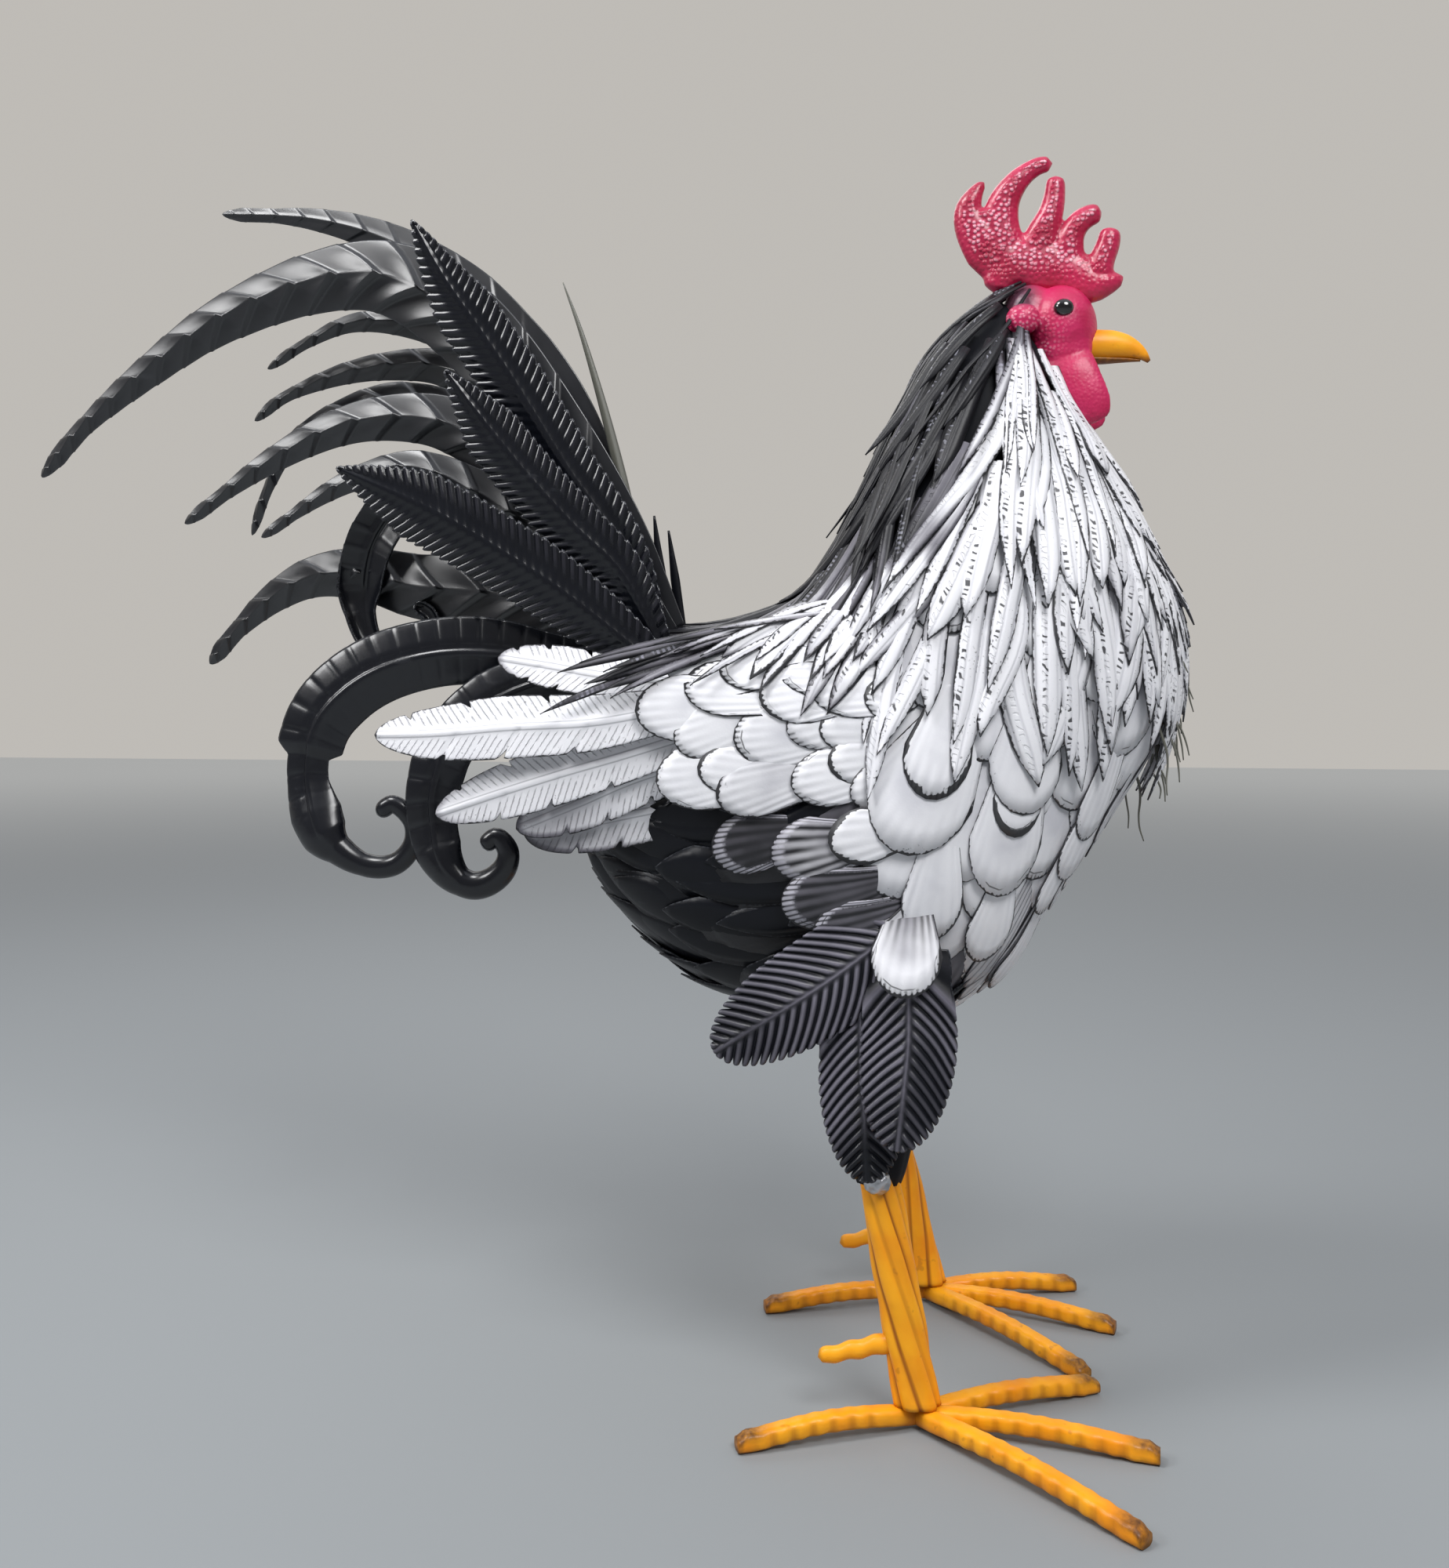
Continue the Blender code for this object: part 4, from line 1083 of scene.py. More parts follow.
def tailSpikes():
    # two narrow upright blades in front of the tail's foot
    parts = []
    for path, y, width in tailSpikeLook:
        line = [(x, y, z) for x, z in path]
        parts.append(pathTube(line, [width / 2, width / 2, 0.6], [1.2, 1.2, 0.4], 14, 24, (False, False)))
    points, faces = joinMeshes(parts)
    marks = {"edge": np.full(len(points), 5.0), "ridge": np.zeros(len(points))}
    addPiece("tail_spikes", points, faces, marks, "satin", "black_paint")


breastLook = {"ribs": (4.2, 9.6, 0.85), "inRow": 7, "lengths": (58, 70), "widths": (38, 50)}


def staggered(rank, count):
    # shares 0 to 1 round the body in a row, every other row half a place on
    return (np.arange(count) + (0.5 if rank % 2 else 0)) / count


def breast():
    # rows of petals from the belly up to the hackle, hanging straight down in front and lying back behind
    columns, count = [], breastLook["inRow"]
    for rank, k in enumerate(np.arange(*breastLook["ribs"])):
        w = staggered(rank, count) * 1.45 - 1.06
        rib = k + 0.35 * w + rng.normal(0, 0.08, count)
        columns.append(np.column_stack([rib, w + rng.normal(0, 0.015, count)]))
    k, w, side = bothSides(*np.vstack(columns).T)
    k = np.clip(k + 0.5, 3.9, 9.9)
    down = step(bodySkin(k, w, side)[0][:, 0], -62, 15)
    heading = unit(headingAt(down * 1.45 + 0.12) + 0.6 * flowDown(k, w, side))
    long = rng.uniform(*breastLook["lengths"], len(k))
    wide = rng.uniform(*breastLook["widths"], len(k)) * (1 - 0.35 * step(-w, 0.55, 0.9))
    frames = layOut(bodySkin, (k, w), side, heading, long)
    tone, climb = darkness(k - 1.5, w)[:, None, None], 4.0 - 2.2 * step(-w, 0.45, 0.9)[:, None, None]
    petalSheets("breast_petals", frames, long, wide, tone, base=-0.5, climb=climb, bend=75.0)


# the petals that stand out: rib number and place round the body of the tip, side-view heading in
# degrees (0 to the tail, 90 straight down), length, width, dark rim, darkness, grooves
showPetals = [
    (5.90, -0.58, 84, 44, 28, 0.7, 0.02, 1), (5.45, -0.38, 84, 52, 30, 0.9, 0.00, 1),
    (6.68, -0.70, 74, 52, 18, 0.6, 0.05, 1), (7.47, -0.67, 80, 56, 24, 0.6, 0.08, 1),
    (6.38, -0.44, 82, 72, 40, 0.5, 0.00, 0.6), (6.86, -0.37, 84, 44, 26, 2.6, 0.00, 0),
    (7.06, -0.35, 84, 52, 38, 0.5, 0.00, 0.3), (5.41, -0.11, 60, 74, 50, 0.6, 0.00, 0.6),
    (6.09, -0.07, 72, 60, 32, 2.9, 0.00, 1), (7.59, -0.29, 84, 46, 28, 0.5, 0.00, 0.5),
    (4.66, -0.04, 8, 44, 27, 2.7, 0.06, 1), (3.97, -0.07, 10, 50, 32, 0.5, 0.42, 1),
    (4.02, -0.21, 14, 52, 32, 0.8, 0.70, 1), (3.28, -0.07, 12, 50, 30, 0.6, 0.84, 1),
    (4.30, -0.30, 18, 48, 28, 0.8, 0.62, 1), (7.08, -0.71, 78, 58, 26, 0.5, 0.00, 1),
    (5.87, -0.80, 72, 50, 22, 0.8, 0.05, 1), (4.92, -0.43, 60, 48, 30, 0.9, 0.22, 1),
]


def standoutPetals():
    # single petals over the breast and flank, laid back from their tips, each a little over the last
    k, w, degrees, long, wide, rim, tone, grooved, side = bothSides(*np.array(showPetals, float).T)
    frames = layOut(bodySkin, (k, w), side, headingAt(np.radians(degrees)), long, backwards=True)
    order = np.tile(np.arange(len(showPetals)), 2)[:, None, None]
    petalSheets("standout_petals", frames, long, wide, tone[:, None, None], rim=rim, grooved=grooved,
                base=1.6 + 0.03 * order, climb=4.6, dish=0.5)


stripeLook = {
    "count": 15, "ribs": (5.2, 7.9), "round": (-0.99, -0.66), "slants": (56, 74), "lengths": (52, 72),
    "widths": (12, 18), "tones": (0.0, 0.28), "rims": (0.4, 1.6),
}


def frontStripes():
    # narrow striped petals slanting down and back under the breast
    look, count = stripeLook, stripeLook["count"]
    k, w, side = bothSides(rng.uniform(*look["ribs"], count), rng.uniform(*look["round"], count))
    heading = headingAt(np.radians(rng.uniform(*look["slants"], len(k))))
    long, wide = rng.uniform(*look["lengths"], len(k)), rng.uniform(*look["widths"], len(k))
    frames = layOut(bodySkin, (k, w), side, heading, long, backwards=True)
    tone = rng.uniform(*look["tones"], len(k))[:, None, None]
    petalSheets("front_stripes", frames, long, wide, tone, "stripe", base=0.6, climb=3.6,
                rim=rng.uniform(*look["rims"], len(k)), roundness=2.2, narrow=0.8)


wispLook = {
    "count": 26, "ribs": (8.2, 10.6), "round": (-1.0, -0.74), "lengths": (16, 34),
    "halfWide": [0.75, 0.7, 0.6, 0.5, 0.45, 0.3], "halfThick": [0.6, 0.6, 0.5, 0.5, 0.4, 0.3],
}


def wisps():
    # thin dark wire tips that curl off the breast in front of the hackle
    look = wispLook
    parts = []
    for _ in range(look["count"]):
        k, w, side = rng.uniform(*look["ribs"]), rng.uniform(*look["round"]), rng.choice([-1.0, 1.0])
        start, core = bodySkin(np.array([k]), np.array([w]), side)
        out = unit(start - core)[0]
        drift = np.array([rng.uniform(-0.10, 0.25), rng.normal(0, 0.15), -1.0])
        steps = np.linspace(0, 1, 6)[:, None] * rng.uniform(*look["lengths"])
        curl = np.sin(steps * rng.uniform(0.15, 0.4) + rng.uniform(0, 6)) * rng.uniform(0.6, 2.2)
        line = start[0] + out * (3 + 0.22 * steps) + drift * steps + curl * np.array([0.8, 0.5, 0])
        parts.append(pathTube(line, look["halfWide"], look["halfThick"], 6, 22, (False, False)))
    points, faces = joinMeshes(parts)
    marks = {"edge": np.full(len(points), 5.0), "tone": np.zeros(len(points))}
    addPiece("breast_wisps", points, faces, marks, "quill", "black_paint")


covertLook = {
    # by the middle of their round ends: x, z, width
    "ends": [
        (-131, 331, 32), (-121, 298, 33), (-101, 305, 24), (-84, 318, 32), (-92, 350, 26), (-59, 322, 26),
        (-57, 297, 28), (-64, 351, 28), (-44, 323, 24), (-40, 307, 25), (-36, 361, 24), (-24, 338, 26),
        (-108, 343, 28), (-72, 337, 30), (-30, 292, 28), (-18, 320, 28), (-92, 290, 28), (-112, 316, 28),
        (-48, 341, 28), (-80, 366, 24), (-118, 352, 22)],
    "length": 48.0, "lowestTone": 0.22, "rims": (0.5, 1.4), "grooved": (0.6, 1.0),
}


def coverts():
    # rounded scales over the wing, from the rear ones to the front ones on top
    look = covertLook
    x, z, wide, side = bothSides(*np.array(sorted(look["ends"]), float).T)
    wander = np.tile(rng.normal(0, 0.10, len(look["ends"])), 2)
    heading = np.stack([-np.ones(len(x)), np.zeros(len(x)), -0.14 + 0.004 * (z - 320) + wander], -1)
    long = np.full(len(x), look["length"])
    frames = layOut(wingSkin, (x, z), side, heading, long, backwards=True)
    tone = look["lowestTone"] * step(-z, -300, -285)[:, None, None]
    order = np.tile(np.arange(len(look["ends"])), 2)[:, None, None]
    rim, grooved = rng.uniform(*look["rims"], len(x)), rng.uniform(*look["grooved"], len(x))
    petalSheets("wing_coverts", frames, long, wide, tone, "scale", rim=rim, grooved=grooved,
                base=0.2 + 0.05 * order, climb=2.7, dish=0.35, bend=130.0, roundness=1.5, narrow=0.8)


# rib numbers of the rows, plates in a row, where a row runs round the body, lengths and widths of the
# plates and what share of them is left towards the rump's end
plateLook = {"tone": 0.97, "cup": 0.08, "tipStart": 0.62}
flankLook = {
    "ribs": (0.6, 5.2, 0.55), "inRow": 8, "lengths": (52, 72), "shortest": 0.45, "widths": (19, 27),
    "narrowest": 0.6, "base": -0.5, "climb": 3.4,
}
rumpLook = {
    "ribs": [1.3, 1.9, 2.5, 3.1, 3.7], "inRow": 6, "round": (-0.34, 0.62), "lengths": (48, 62),
    "shortest": 0.55, "widths": (24, 30), "narrowest": 0.7, "base": 0.4, "climb": 4.2,
}


def shareFrom(least, grown):
    # from the least share up to the whole as grown goes from 0 to 1
    return least + (1 - least) * grown


def plateSizes(look, k):
    # lengths and widths of the plates by how far up the ribs they start
    long = rng.uniform(*look["lengths"], len(k)) * shareFrom(look["shortest"], step(k, 1, 3.4))
    wide = rng.uniform(*look["widths"], len(k)) * shareFrom(look["narrowest"], step(k, 1, 3))
    return long, wide


def plates(name, look, frames, long, wide, flare):
    # nearly flat dark lance-shaped plates
    stripSheets(name, frames, long, wide, plateLook["tone"], flare, "black_paint", "satin",
                base=look["base"], climb=look["climb"], cup=plateLook["cup"], tipStart=plateLook["tipStart"])


def rearFlank():
    # dark plates below and behind the wing, only where the bird is dark
    columns, count = [], flankLook["inRow"]
    for rank, k in enumerate(np.arange(*flankLook["ribs"])):
        w = staggered(rank, count) * 1.3 - 1.04
        columns.append(np.column_stack([np.full(count, k) + rng.normal(0, 0.08, count), w]))
    k, w, side = bothSides(*np.vstack(columns).T)
    k = np.clip(k - 0.9 * (w + 0.3) + 1.0, 1.2, 6.0)
    long, wide = plateSizes(flankLook, k)
    frames = layOut(bodySkin, (k, w), side, flowDown(k, w, side), long)
    keep = darkness(k - 1.3, w) > 0.5
    frames = tuple(column[keep] for column in frames)
    plates("rear_flank_plates", flankLook, frames, long[keep], wide[keep], rng.uniform(0, 2.5, keep.sum()))


def rumpPlates():
    # dark plates over the rump above the flank, under the tail's foot
    look, rows = rumpLook, len(rumpLook["ribs"])
    k = np.repeat(look["ribs"], look["inRow"])
    w = np.tile(np.linspace(*look["round"], look["inRow"]), rows) + rng.normal(0, 0.02, len(k))
    k, w, side = bothSides(k + rng.normal(0, 0.06, len(k)), w)
    long, wide = plateSizes(look, k)
    frames = layOut(bodySkin, (k, w), side, flowDown(k, w, side), long)
    plates("rump_plates", look, frames, long, wide, rng.uniform(0, 2.0, len(k)))


breast()
standoutPetals()
frontStripes()
wisps()
rearFlank()
hackle()
saddle()
tailSpikes()
coverts()
wingStrips()
shoulderStrips()
rumpPlates()
print("body sheets laid")


# feathers on their own midribs

def featherSheet(path, layer, width, shape, starts, columns, rise, skew=0.0, lean=0.0, notch=None, hook=0.0,
                 outward=None):
    # a feather in an upright plane: its rows begin at the shares starts of the midrib and sweep to the tip
    # by skew for each millimetre aside, and by hook more at the edge; rise gives the height off the flat
    # sheet, notch cuts the half width back, outward is the side it rises to, if not its own
    line = smoothPath(path, 260)
    walked = walkedAlong(line)
    total = walked[-1]
    t = np.asarray(columns, float)[None, :]
    share = np.asarray(starts, float)[:, None]
    sweep = skew * step(share, 0.0, 0.12)
    low, high = np.zeros(share.shape), np.full(share.shape, width / 2)
    for _ in range(20):
        # halving finds where the swept row meets the outline
        half = (low + high) / 2
        swept = share + sweep * half * (1 + hook * half / width) / total
        out = half > width / 2 * shape(np.clip(swept, 0, 1))
        low, high = np.where(out, low, half), np.where(out, half, high)
    half = np.maximum((low + high) / 2, 0.15) * (1 if notch is None else 1 - notch(share * total, t))
    aside = t * half
    reach = np.minimum(share * total + sweep * np.abs(aside) * (1 + hook * np.abs(aside) / width), total)
    tangent = unit(np.gradient(line, axis=0))
    normal = np.column_stack([-tangent[:, 1], tangent[:, 0]])
    normal *= np.sign(normal[:, 1].sum() or 1)
    centre = np.stack([np.interp(reach, walked, line[:, n]) for n in range(2)], -1)
    across = unit(np.stack([np.interp(reach, walked, normal[:, n]) for n in range(2)], -1))
    outward = outward or math.copysign(1, sum(layer))
    y = layer[0] + (layer[1] - layer[0]) * reach / total
    y = y - outward * math.sin(lean) * np.abs(across[..., 1]) * aside
    height, ridge = rise(share, t, half, aside)
    points = np.stack([centre[..., 0] + across[..., 0] * aside * math.cos(lean), y + outward * height,
                       centre[..., 1] + across[..., 1] * aside * math.cos(lean)], -1)
    edge = np.minimum(half * (1 - np.abs(t)), (total - reach) * 0.6)
    marks = {"edge": edge, "along": reach, "aside": aside, "ridge": ridge, "start": share * total,
             "tone": 0.0, "rim": 0.3, "seed": 0.0, "grooved": 0.0}
    return points, marks, share


def addFeather(node, ending, sheet, paint, slot, thickness=1.0, tone=None):
    # one feather sheet in place of its CAD node; tone gives the darkness by share and place aside
    points, marks, share = sheet
    if tone is not None:
        marks["tone"] = tone(share, marks["aside"])
    marks = {mark: np.broadcast_to(values, points.shape[:2])[None] for mark, values in marks.items()}
    addSheets(node + ending, points[None], marks, paint, slot, thickness, (node,), 0.0)


def mirrored(layer):
    # the layer on both sides of the bird: side, its word and the distances from the middle
    return [(side, word, tuple(side * y for y in layer)) for side, word in sides]


def bothWays(places):
    # columns across a feather: shares of its half width on both sides of the midrib
    return [-place for place in reversed(places)] + [0] + list(places)


def ribWave(count, power):
    # the share along a feather to a row of ribs, each rising from 0 to 1 and back
    return lambda share: (0.5 - 0.5 * np.cos(2 * math.pi * share * count)) ** power


sickleFeathers = {
    # distance from the middle at root and tip, width, scoops, midrib
    "sickle_lower_right": ((-31, -44), 24, 13, [
        (-131, 366), (-182, 414), (-224, 442), (-259, 457), (-287, 454), (-311, 444), (-345, 422)]),
    "sickle_middle_right": ((-26.5, -37), 31, 15, [
        (-129, 369), (-163, 414), (-201, 454), (-239, 478), (-269, 485), (-305, 481), (-347, 462),
        (-393, 431)]),
    "sickle_great": ((-22, -26), 43, 22, [
        (-129, 371), (-156, 423), (-194, 479), (-237, 533), (-280, 561), (-325, 561), (-378, 543),
        (-418, 519), (-458, 489), (-486, 460)]),
    "sickle_top": ((-13, -8), 32, 17, [
        (-131, 372), (-155, 417), (-172, 455), (-193, 496), (-218, 530), (-246, 560), (-287, 586),
        (-333, 601), (-387, 607)]),
    "sickle_upper_left": ((-7, 2), 24, 15, [
        (-130, 372), (-178, 442), (-218, 499), (-254, 532), (-282, 543), (-314, 545), (-342, 535),
        (-365, 522)]),
    "sickle_middle_left": ((9, 12), 27, 15, [
        (-132, 372), (-186, 451), (-231, 502), (-263, 520), (-294, 523), (-326, 519), (-359, 508),
        (-378, 495)]),
    "sickle_small_left": ((15, 22), 24, 15, [
        (-133, 371), (-197, 441), (-252, 491), (-290, 506), (-323, 502), (-357, 485), (-375, 457),
        (-385, 431)]),
    "sickle_low_left": ((31, 50), 43, 14, [
        (-134, 367), (-200, 388), (-250, 397), (-290, 401), (-325, 409), (-357, 408), (-384, 396),
        (-408, 377), (-427, 357)]),
}


def sickleBlade(share, belly):
    # widest at belly, then a long taper that ends blunt and rounded
    grow = 0.4 + 0.6 * np.sin(np.clip(share / belly, 0, 1) * math.pi / 2)
    fall = np.clip((1 - share) / (0.95 - belly), 0, 1) ** 0.75
    end = 0.24 * np.sqrt(np.clip((1 - share) / 0.03, 0, 1))
    return np.maximum(grow * fall, end)


def paddle(share, middle=0.6, root=0.5, power=2.2):
    # a broad feather: widest at the middle and rounded off like an ellipse
    grow = root + (1 - root) * np.sin(np.clip(share / middle, 0, 1) * math.pi / 2)
    past = np.clip((share - middle) / (1 - middle), 0, 1)
    return grow * (1 - past ** power) ** (1 / power)


sickleLook = {
    # where the rows of one scoop lie, how much the scoops shorten to the tip, how far rows sweep back,
    # the widest place, the scoops' depth as a share of their length, the fold at root and tip, and the
    # midrib's height
    "inScoop": [0, 0.06, 0.14, 0.25, 0.38, 0.52, 0.68, 0.84, 0.97], "shortening": 1.4, "sweep": 1.35,
    "widestAt": {"sickle_low_left": 0.36}, "usualWidest": 0.4, "depth": 0.22, "rootFold": 0.08,
    "tipFold": 0.34, "spine": 0.4, "across": [0.05, 0.2, 0.4, 0.6, 0.8, 0.96, 1],
}


def sickleRise(name, scoops, total):
    # folded along the midrib and pressed into arrow-shaped scoops, each rising at once and sinking back in
    # a hollow curve to the next; the top feather is smoother
    look = sickleLook

    def rise(share, t, half, aside):
        left = 1 - (1 - np.minimum(share, 0.9999)) ** (1 / look["shortening"])
        scoop = (1 - (left * scoops + 1e-6) % 1.0) ** 2
        span = total / scoops * look["shortening"] * (1 - left) ** (look["shortening"] - 1)
        clear = step(share, 0.14, 0.26)
        depth = look["depth"] * span * clear
        fold = (look["rootFold"] + look["tipFold"] * clear * step(share, 0.2, 0.7)) * (half - np.abs(aside))
        if name == "sickle_top":
            depth, fold = 0.2 * depth * step(share, 0.4, 0.6), 0.6 * fold
        spine = look["spine"] * np.exp(-(aside / 0.8) ** 2)
        return fold + spine + depth * scoop * (1 - 0.8 * np.abs(t) ** 1.4), scoop
    return rise


def sickles():
    # the long swept tail feathers; the scoops shorten towards the tip
    look = sickleLook
    for name, (layer, width, scoops, path) in sickleFeathers.items():
        starts = np.append(((np.arange(scoops)[:, None] + look["inScoop"]) / scoops).ravel(), 1.0)
        starts = 1 - (1 - starts) ** look["shortening"]
        belly = look["widestAt"].get(name, look["usualWidest"])
        sheet = featherSheet(path, layer, width, lambda share: sickleBlade(share, belly), starts,
                             bothWays(look["across"]), sickleRise(name, scoops, pathLength(path)),
                             look["sweep"], outward=-1)
        addFeather(name, "_scooped", sheet, "sickle", "black_paint")


ribbedFeathers = {
    # distance from the middle at root and tip on the left, width, ribs, midrib
    "ribbed_upper": ((37, 48), 34, 46, [
        (-133, 365), (-150, 412), (-179, 454), (-208, 501), (-241, 550), (-260, 584)]),
    "ribbed_middle": ((42, 56), 32, 36, [(-129, 360), (-149, 399), (-175, 425), (-206, 460), (-239, 504)]),
    "ribbed_lower": ((47, 66), 38, 40, [(-122, 346), (-173, 386), (-204, 407), (-246, 432), (-293, 454)]),
}
ribbedLook = {
    "across": [0.12, 0.28, 0.4, 0.52, 0.66, 0.8, 0.93, 1], "rowsPerRib": 5, "sweep": 0.75, "leftBack": 14,
    "ribHeight": 1.5, "spineHeight": 0.8, "toothDepth": 0.09, "thickness": 0.8,
}


def ribbedRise(ribs):
    # a low fold, slanting ribs between the smooth middle and the edge, and a raised midrib
    wave = ribWave(ribs, 2.6)

    def rise(share, t, half, aside):
        band = step(np.abs(t), 0.38, 0.58)
        spine = np.exp(-(aside / 1.5) ** 2)
        height = 0.16 * (half - np.abs(aside)) + ribbedLook["ribHeight"] * band * wave(share)
        return height + ribbedLook["spineHeight"] * spine, band * wave(share) ** 2
    return rise


def teethOf(pitch):
    # a saw-toothed edge: one shallow tooth for each rib
    return lambda reach, t: ribbedLook["toothDepth"] * (0.5 + 0.5 * np.cos(2 * math.pi * reach / pitch))


def ribbedTail():
    # side tail feathers with a smooth middle and slanting stamped ribs along both saw-toothed edges
    look = ribbedLook
    for name, (layer, width, ribs, path) in ribbedFeathers.items():
        starts = np.linspace(0, 1, ribs * look["rowsPerRib"] + 1)
        teeth = teethOf(pathLength(path) / ribs)
        for side, word, there in mirrored(layer):
            # the left ones lean further back at the root
            back = np.linspace(look["leftBack"] if word == "left" else 0, 0, len(path))
            line = [(x - behind, z) for (x, z), behind in zip(path, back)]
            sheet = featherSheet(line, there, width, lambda share: blade(share, 0.78, 0.45, 0.5), starts,
                                 bothWays(look["across"]), ribbedRise(ribs), look["sweep"], notch=teeth)
            addFeather(f"{name}_{word}", "_stamped", sheet, "stamped", "black_paint", look["thickness"])


# curled ribbons: distance from the middle at root and tip, midrib, then width in mm against the share
# of the length; the ribbon steps narrower before it rounds into a rod
curledFeathers = {
    "curl_great": ((-30, -40), [
        (-140, 357), (-184, 356), (-217, 361), (-249, 361), (-279, 354), (-302, 341), (-318, 322),
        (-323, 295), (-314, 267), (-301, 254), (-286, 248), (-272, 250), (-263, 260), (-263, 272),
        (-273, 281), (-282, 276)], [
        (0, 16), (0.12, 26), (0.25, 35), (0.5, 38), (0.585, 37), (0.60, 23), (0.64, 23), (0.69, 29),
        (0.725, 26), (0.755, 16), (0.80, 11.5), (0.9, 9.5), (0.97, 8.5), (1, 8.5)]),
    "curl_small": ((-42, -52), [
        (-150, 352), (-171, 352), (-213, 338), (-239, 316), (-248, 293), (-249, 276), (-245, 258),
        (-237, 246), (-227, 241), (-217, 243), (-209, 250), (-207, 259), (-213, 266), (-220, 261)], [
        (0, 14), (0.12, 24), (0.3, 31), (0.5, 30), (0.6, 27), (0.68, 25), (0.73, 19), (0.77, 14),
        (0.87, 12), (0.93, 10), (0.97, 8.5), (1, 8.5)]),
    "curl_upper_left": ((23, 33), [
        (-136, 370), (-190, 420), (-237, 450), (-274, 458), (-298, 449), (-314, 431), (-322, 410),
        (-324, 390), (-318, 370), (-304, 357), (-288, 358), (-279, 370), (-282, 384), (-291, 390)], [
        (0, 13), (0.2, 22), (0.5, 28), (0.62, 29), (0.70, 27), (0.74, 18), (0.8, 13), (0.9, 10), (1, 8)]),
}
curlLook = {
    "across": [0.08, 0.2, 0.4, 0.6, 0.8, 0.94, 1], "scoreEvery": 11.0, "rowsPerScore": 9, "sweep": 0.12,
    "toRod": (0.62, 0.78), "thickness": 1.3,
}


def curlRise(scores):
    # a band that slopes down to a ridge and a groove beside the midrib, with score lines across, turning
    # into a half-round rod towards the rolled end
    def rise(share, t, half, aside):
        toRod = step(share, *curlLook["toRod"])
        outerBand = 0.30 * half * (1 - np.abs(t)) ** 0.8
        crease = 1.6 * np.exp(-((aside + 0.12 * half) / 0.9) ** 2)
        crease = crease - 1.4 * np.exp(-((aside - 0.06 * half) / 1.3) ** 2)
        rod = 0.9 * half * np.sqrt(1 - 0.98 * t ** 2)
        line = np.exp(-(((share * scores + 0.5) % 1.0 - 0.5) / 0.10) ** 2)
        scored = line * (1 - toRod) * step(np.abs(t), 0.05, 0.2)
        height = (outerBand + crease) * (1 - toRod) + rod * toRod
        return height - 0.35 * scored * (1 + 0.5 * np.sign(aside)), 1 - scored
    return rise


def curlShape(stops, wide):
    # the listed widths as shares of the widest, with a rounded end
    def shape(share):
        end = np.sqrt(np.clip(1 - np.clip((share - 0.985) / 0.015, 0, 1) ** 2, 0.02, 1))
        return np.interp(share, stops, wide) / wide.max() * end
    return shape


def curls():
    # creased along the middle and scored across, rounding into a rod towards the rolled end
    look = curlLook
    for name, (layer, path, widths) in curledFeathers.items():
        stops, wide = np.array(widths, float).T
        scores = round(pathLength(path, 120) / look["scoreEvery"])
        starts = np.linspace(0, 1, scores * look["rowsPerScore"] + 1)
        sheet = featherSheet(path, layer, wide.max(), curlShape(stops, wide), starts,
                             bothWays(look["across"]), curlRise(scores), look["sweep"])
        addFeather(name, "_scored", sheet, "curl", "black_paint", look["thickness"])


wingFeathers = {
    # distance from the middle at root and tip on the left, width, lean in radians, ribs, how dark the
    # lower half and the tip are, midrib
    "wing_feather_1": ((66, 64), 25, 0.5, 20, (0.0, 0.20), [
        (-118, 345), (-152, 348), (-182, 353), (-208, 357)]),
    "wing_feather_2": ((88, 90), 31, 0.25, 34, (0.0, 0.06), [
        (-98, 335), (-130, 329), (-156, 325), (-194, 323), (-230, 320), (-262, 319)]),
    "wing_feather_3": ((84, 84), 29, 0.15, 32, (0.0, 0.14), [
        (-92, 324), (-137, 310), (-168, 301), (-200, 291), (-233, 280)]),
    "wing_feather_4": ((80, 78), 28, 0.1, 26, (0.04, 0.24), [
        (-84, 313), (-131, 299), (-162, 286), (-194, 273)]),
    "wing_feather_5": ((76, 72), 30, 0.05, 30, (0.08, 0.34), [
        (-70, 292), (-100, 288), (-140, 280), (-175, 272), (-192, 270)]),
}
wingFeatherLook = {
    "across": [0.08, 0.2, 0.36, 0.54, 0.72, 0.9, 1], "rowsPerRib": 3, "sweep": 0.7, "thickness": 0.9,
    # the nicks: share of the midrib, below it (-1) or above; depth as a share of the width, width in mm
    "nicks": [(0.34, -1), (0.42, 1), (0.55, -1), (0.66, 1), (0.74, -1), (0.86, 1)],
    "nickDepth": 0.30, "nickWidth": 1.1,
}


def nicksIn(length):
    # narrow cuts in the edges, each a bell curve round its place
    look = wingFeatherLook

    def cut(reach, t):
        total = np.zeros(np.broadcast(reach, t).shape)
        for share, side in look["nicks"]:
            bell = np.exp(-((reach - length * share) / look["nickWidth"]) ** 2)
            total += look["nickDepth"] * bell * (np.sign(t) == side)
        return np.minimum(total, 0.6)
    return cut


def quietRise(share, t, half, aside):
    # a low fold and a raised midrib
    return 0.14 * (half - np.abs(aside)) + 0.9 * np.exp(-(aside / 1.2) ** 2), 1.0


def wings():
    # long pale feathers behind the wing, scored by their paint and nicked at the edges
    look = wingFeatherLook
    for name, (layer, width, lean, ribs, (lower, tip), path) in wingFeathers.items():
        starts = np.linspace(0, 1, ribs * look["rowsPerRib"] + 1)
        cuts = nicksIn(pathLength(path))

        def tone(share, aside, lower=lower, tip=tip):
            return tip * step(share, 0.40, 1.0) + lower * (1 + 0.8 * step(-aside, -2, 12))

        for side, word, there in mirrored(layer):
            sheet = featherSheet(path, there, width, lambda share: paddle(share, 0.6, 0.55, 2.0), starts,
                                 bothWays(look["across"]), quietRise, look["sweep"], lean, cuts)
            addFeather(f"{name}_{word}", "_ribbed", sheet, "wing", "white_paint", look["thickness"], tone)


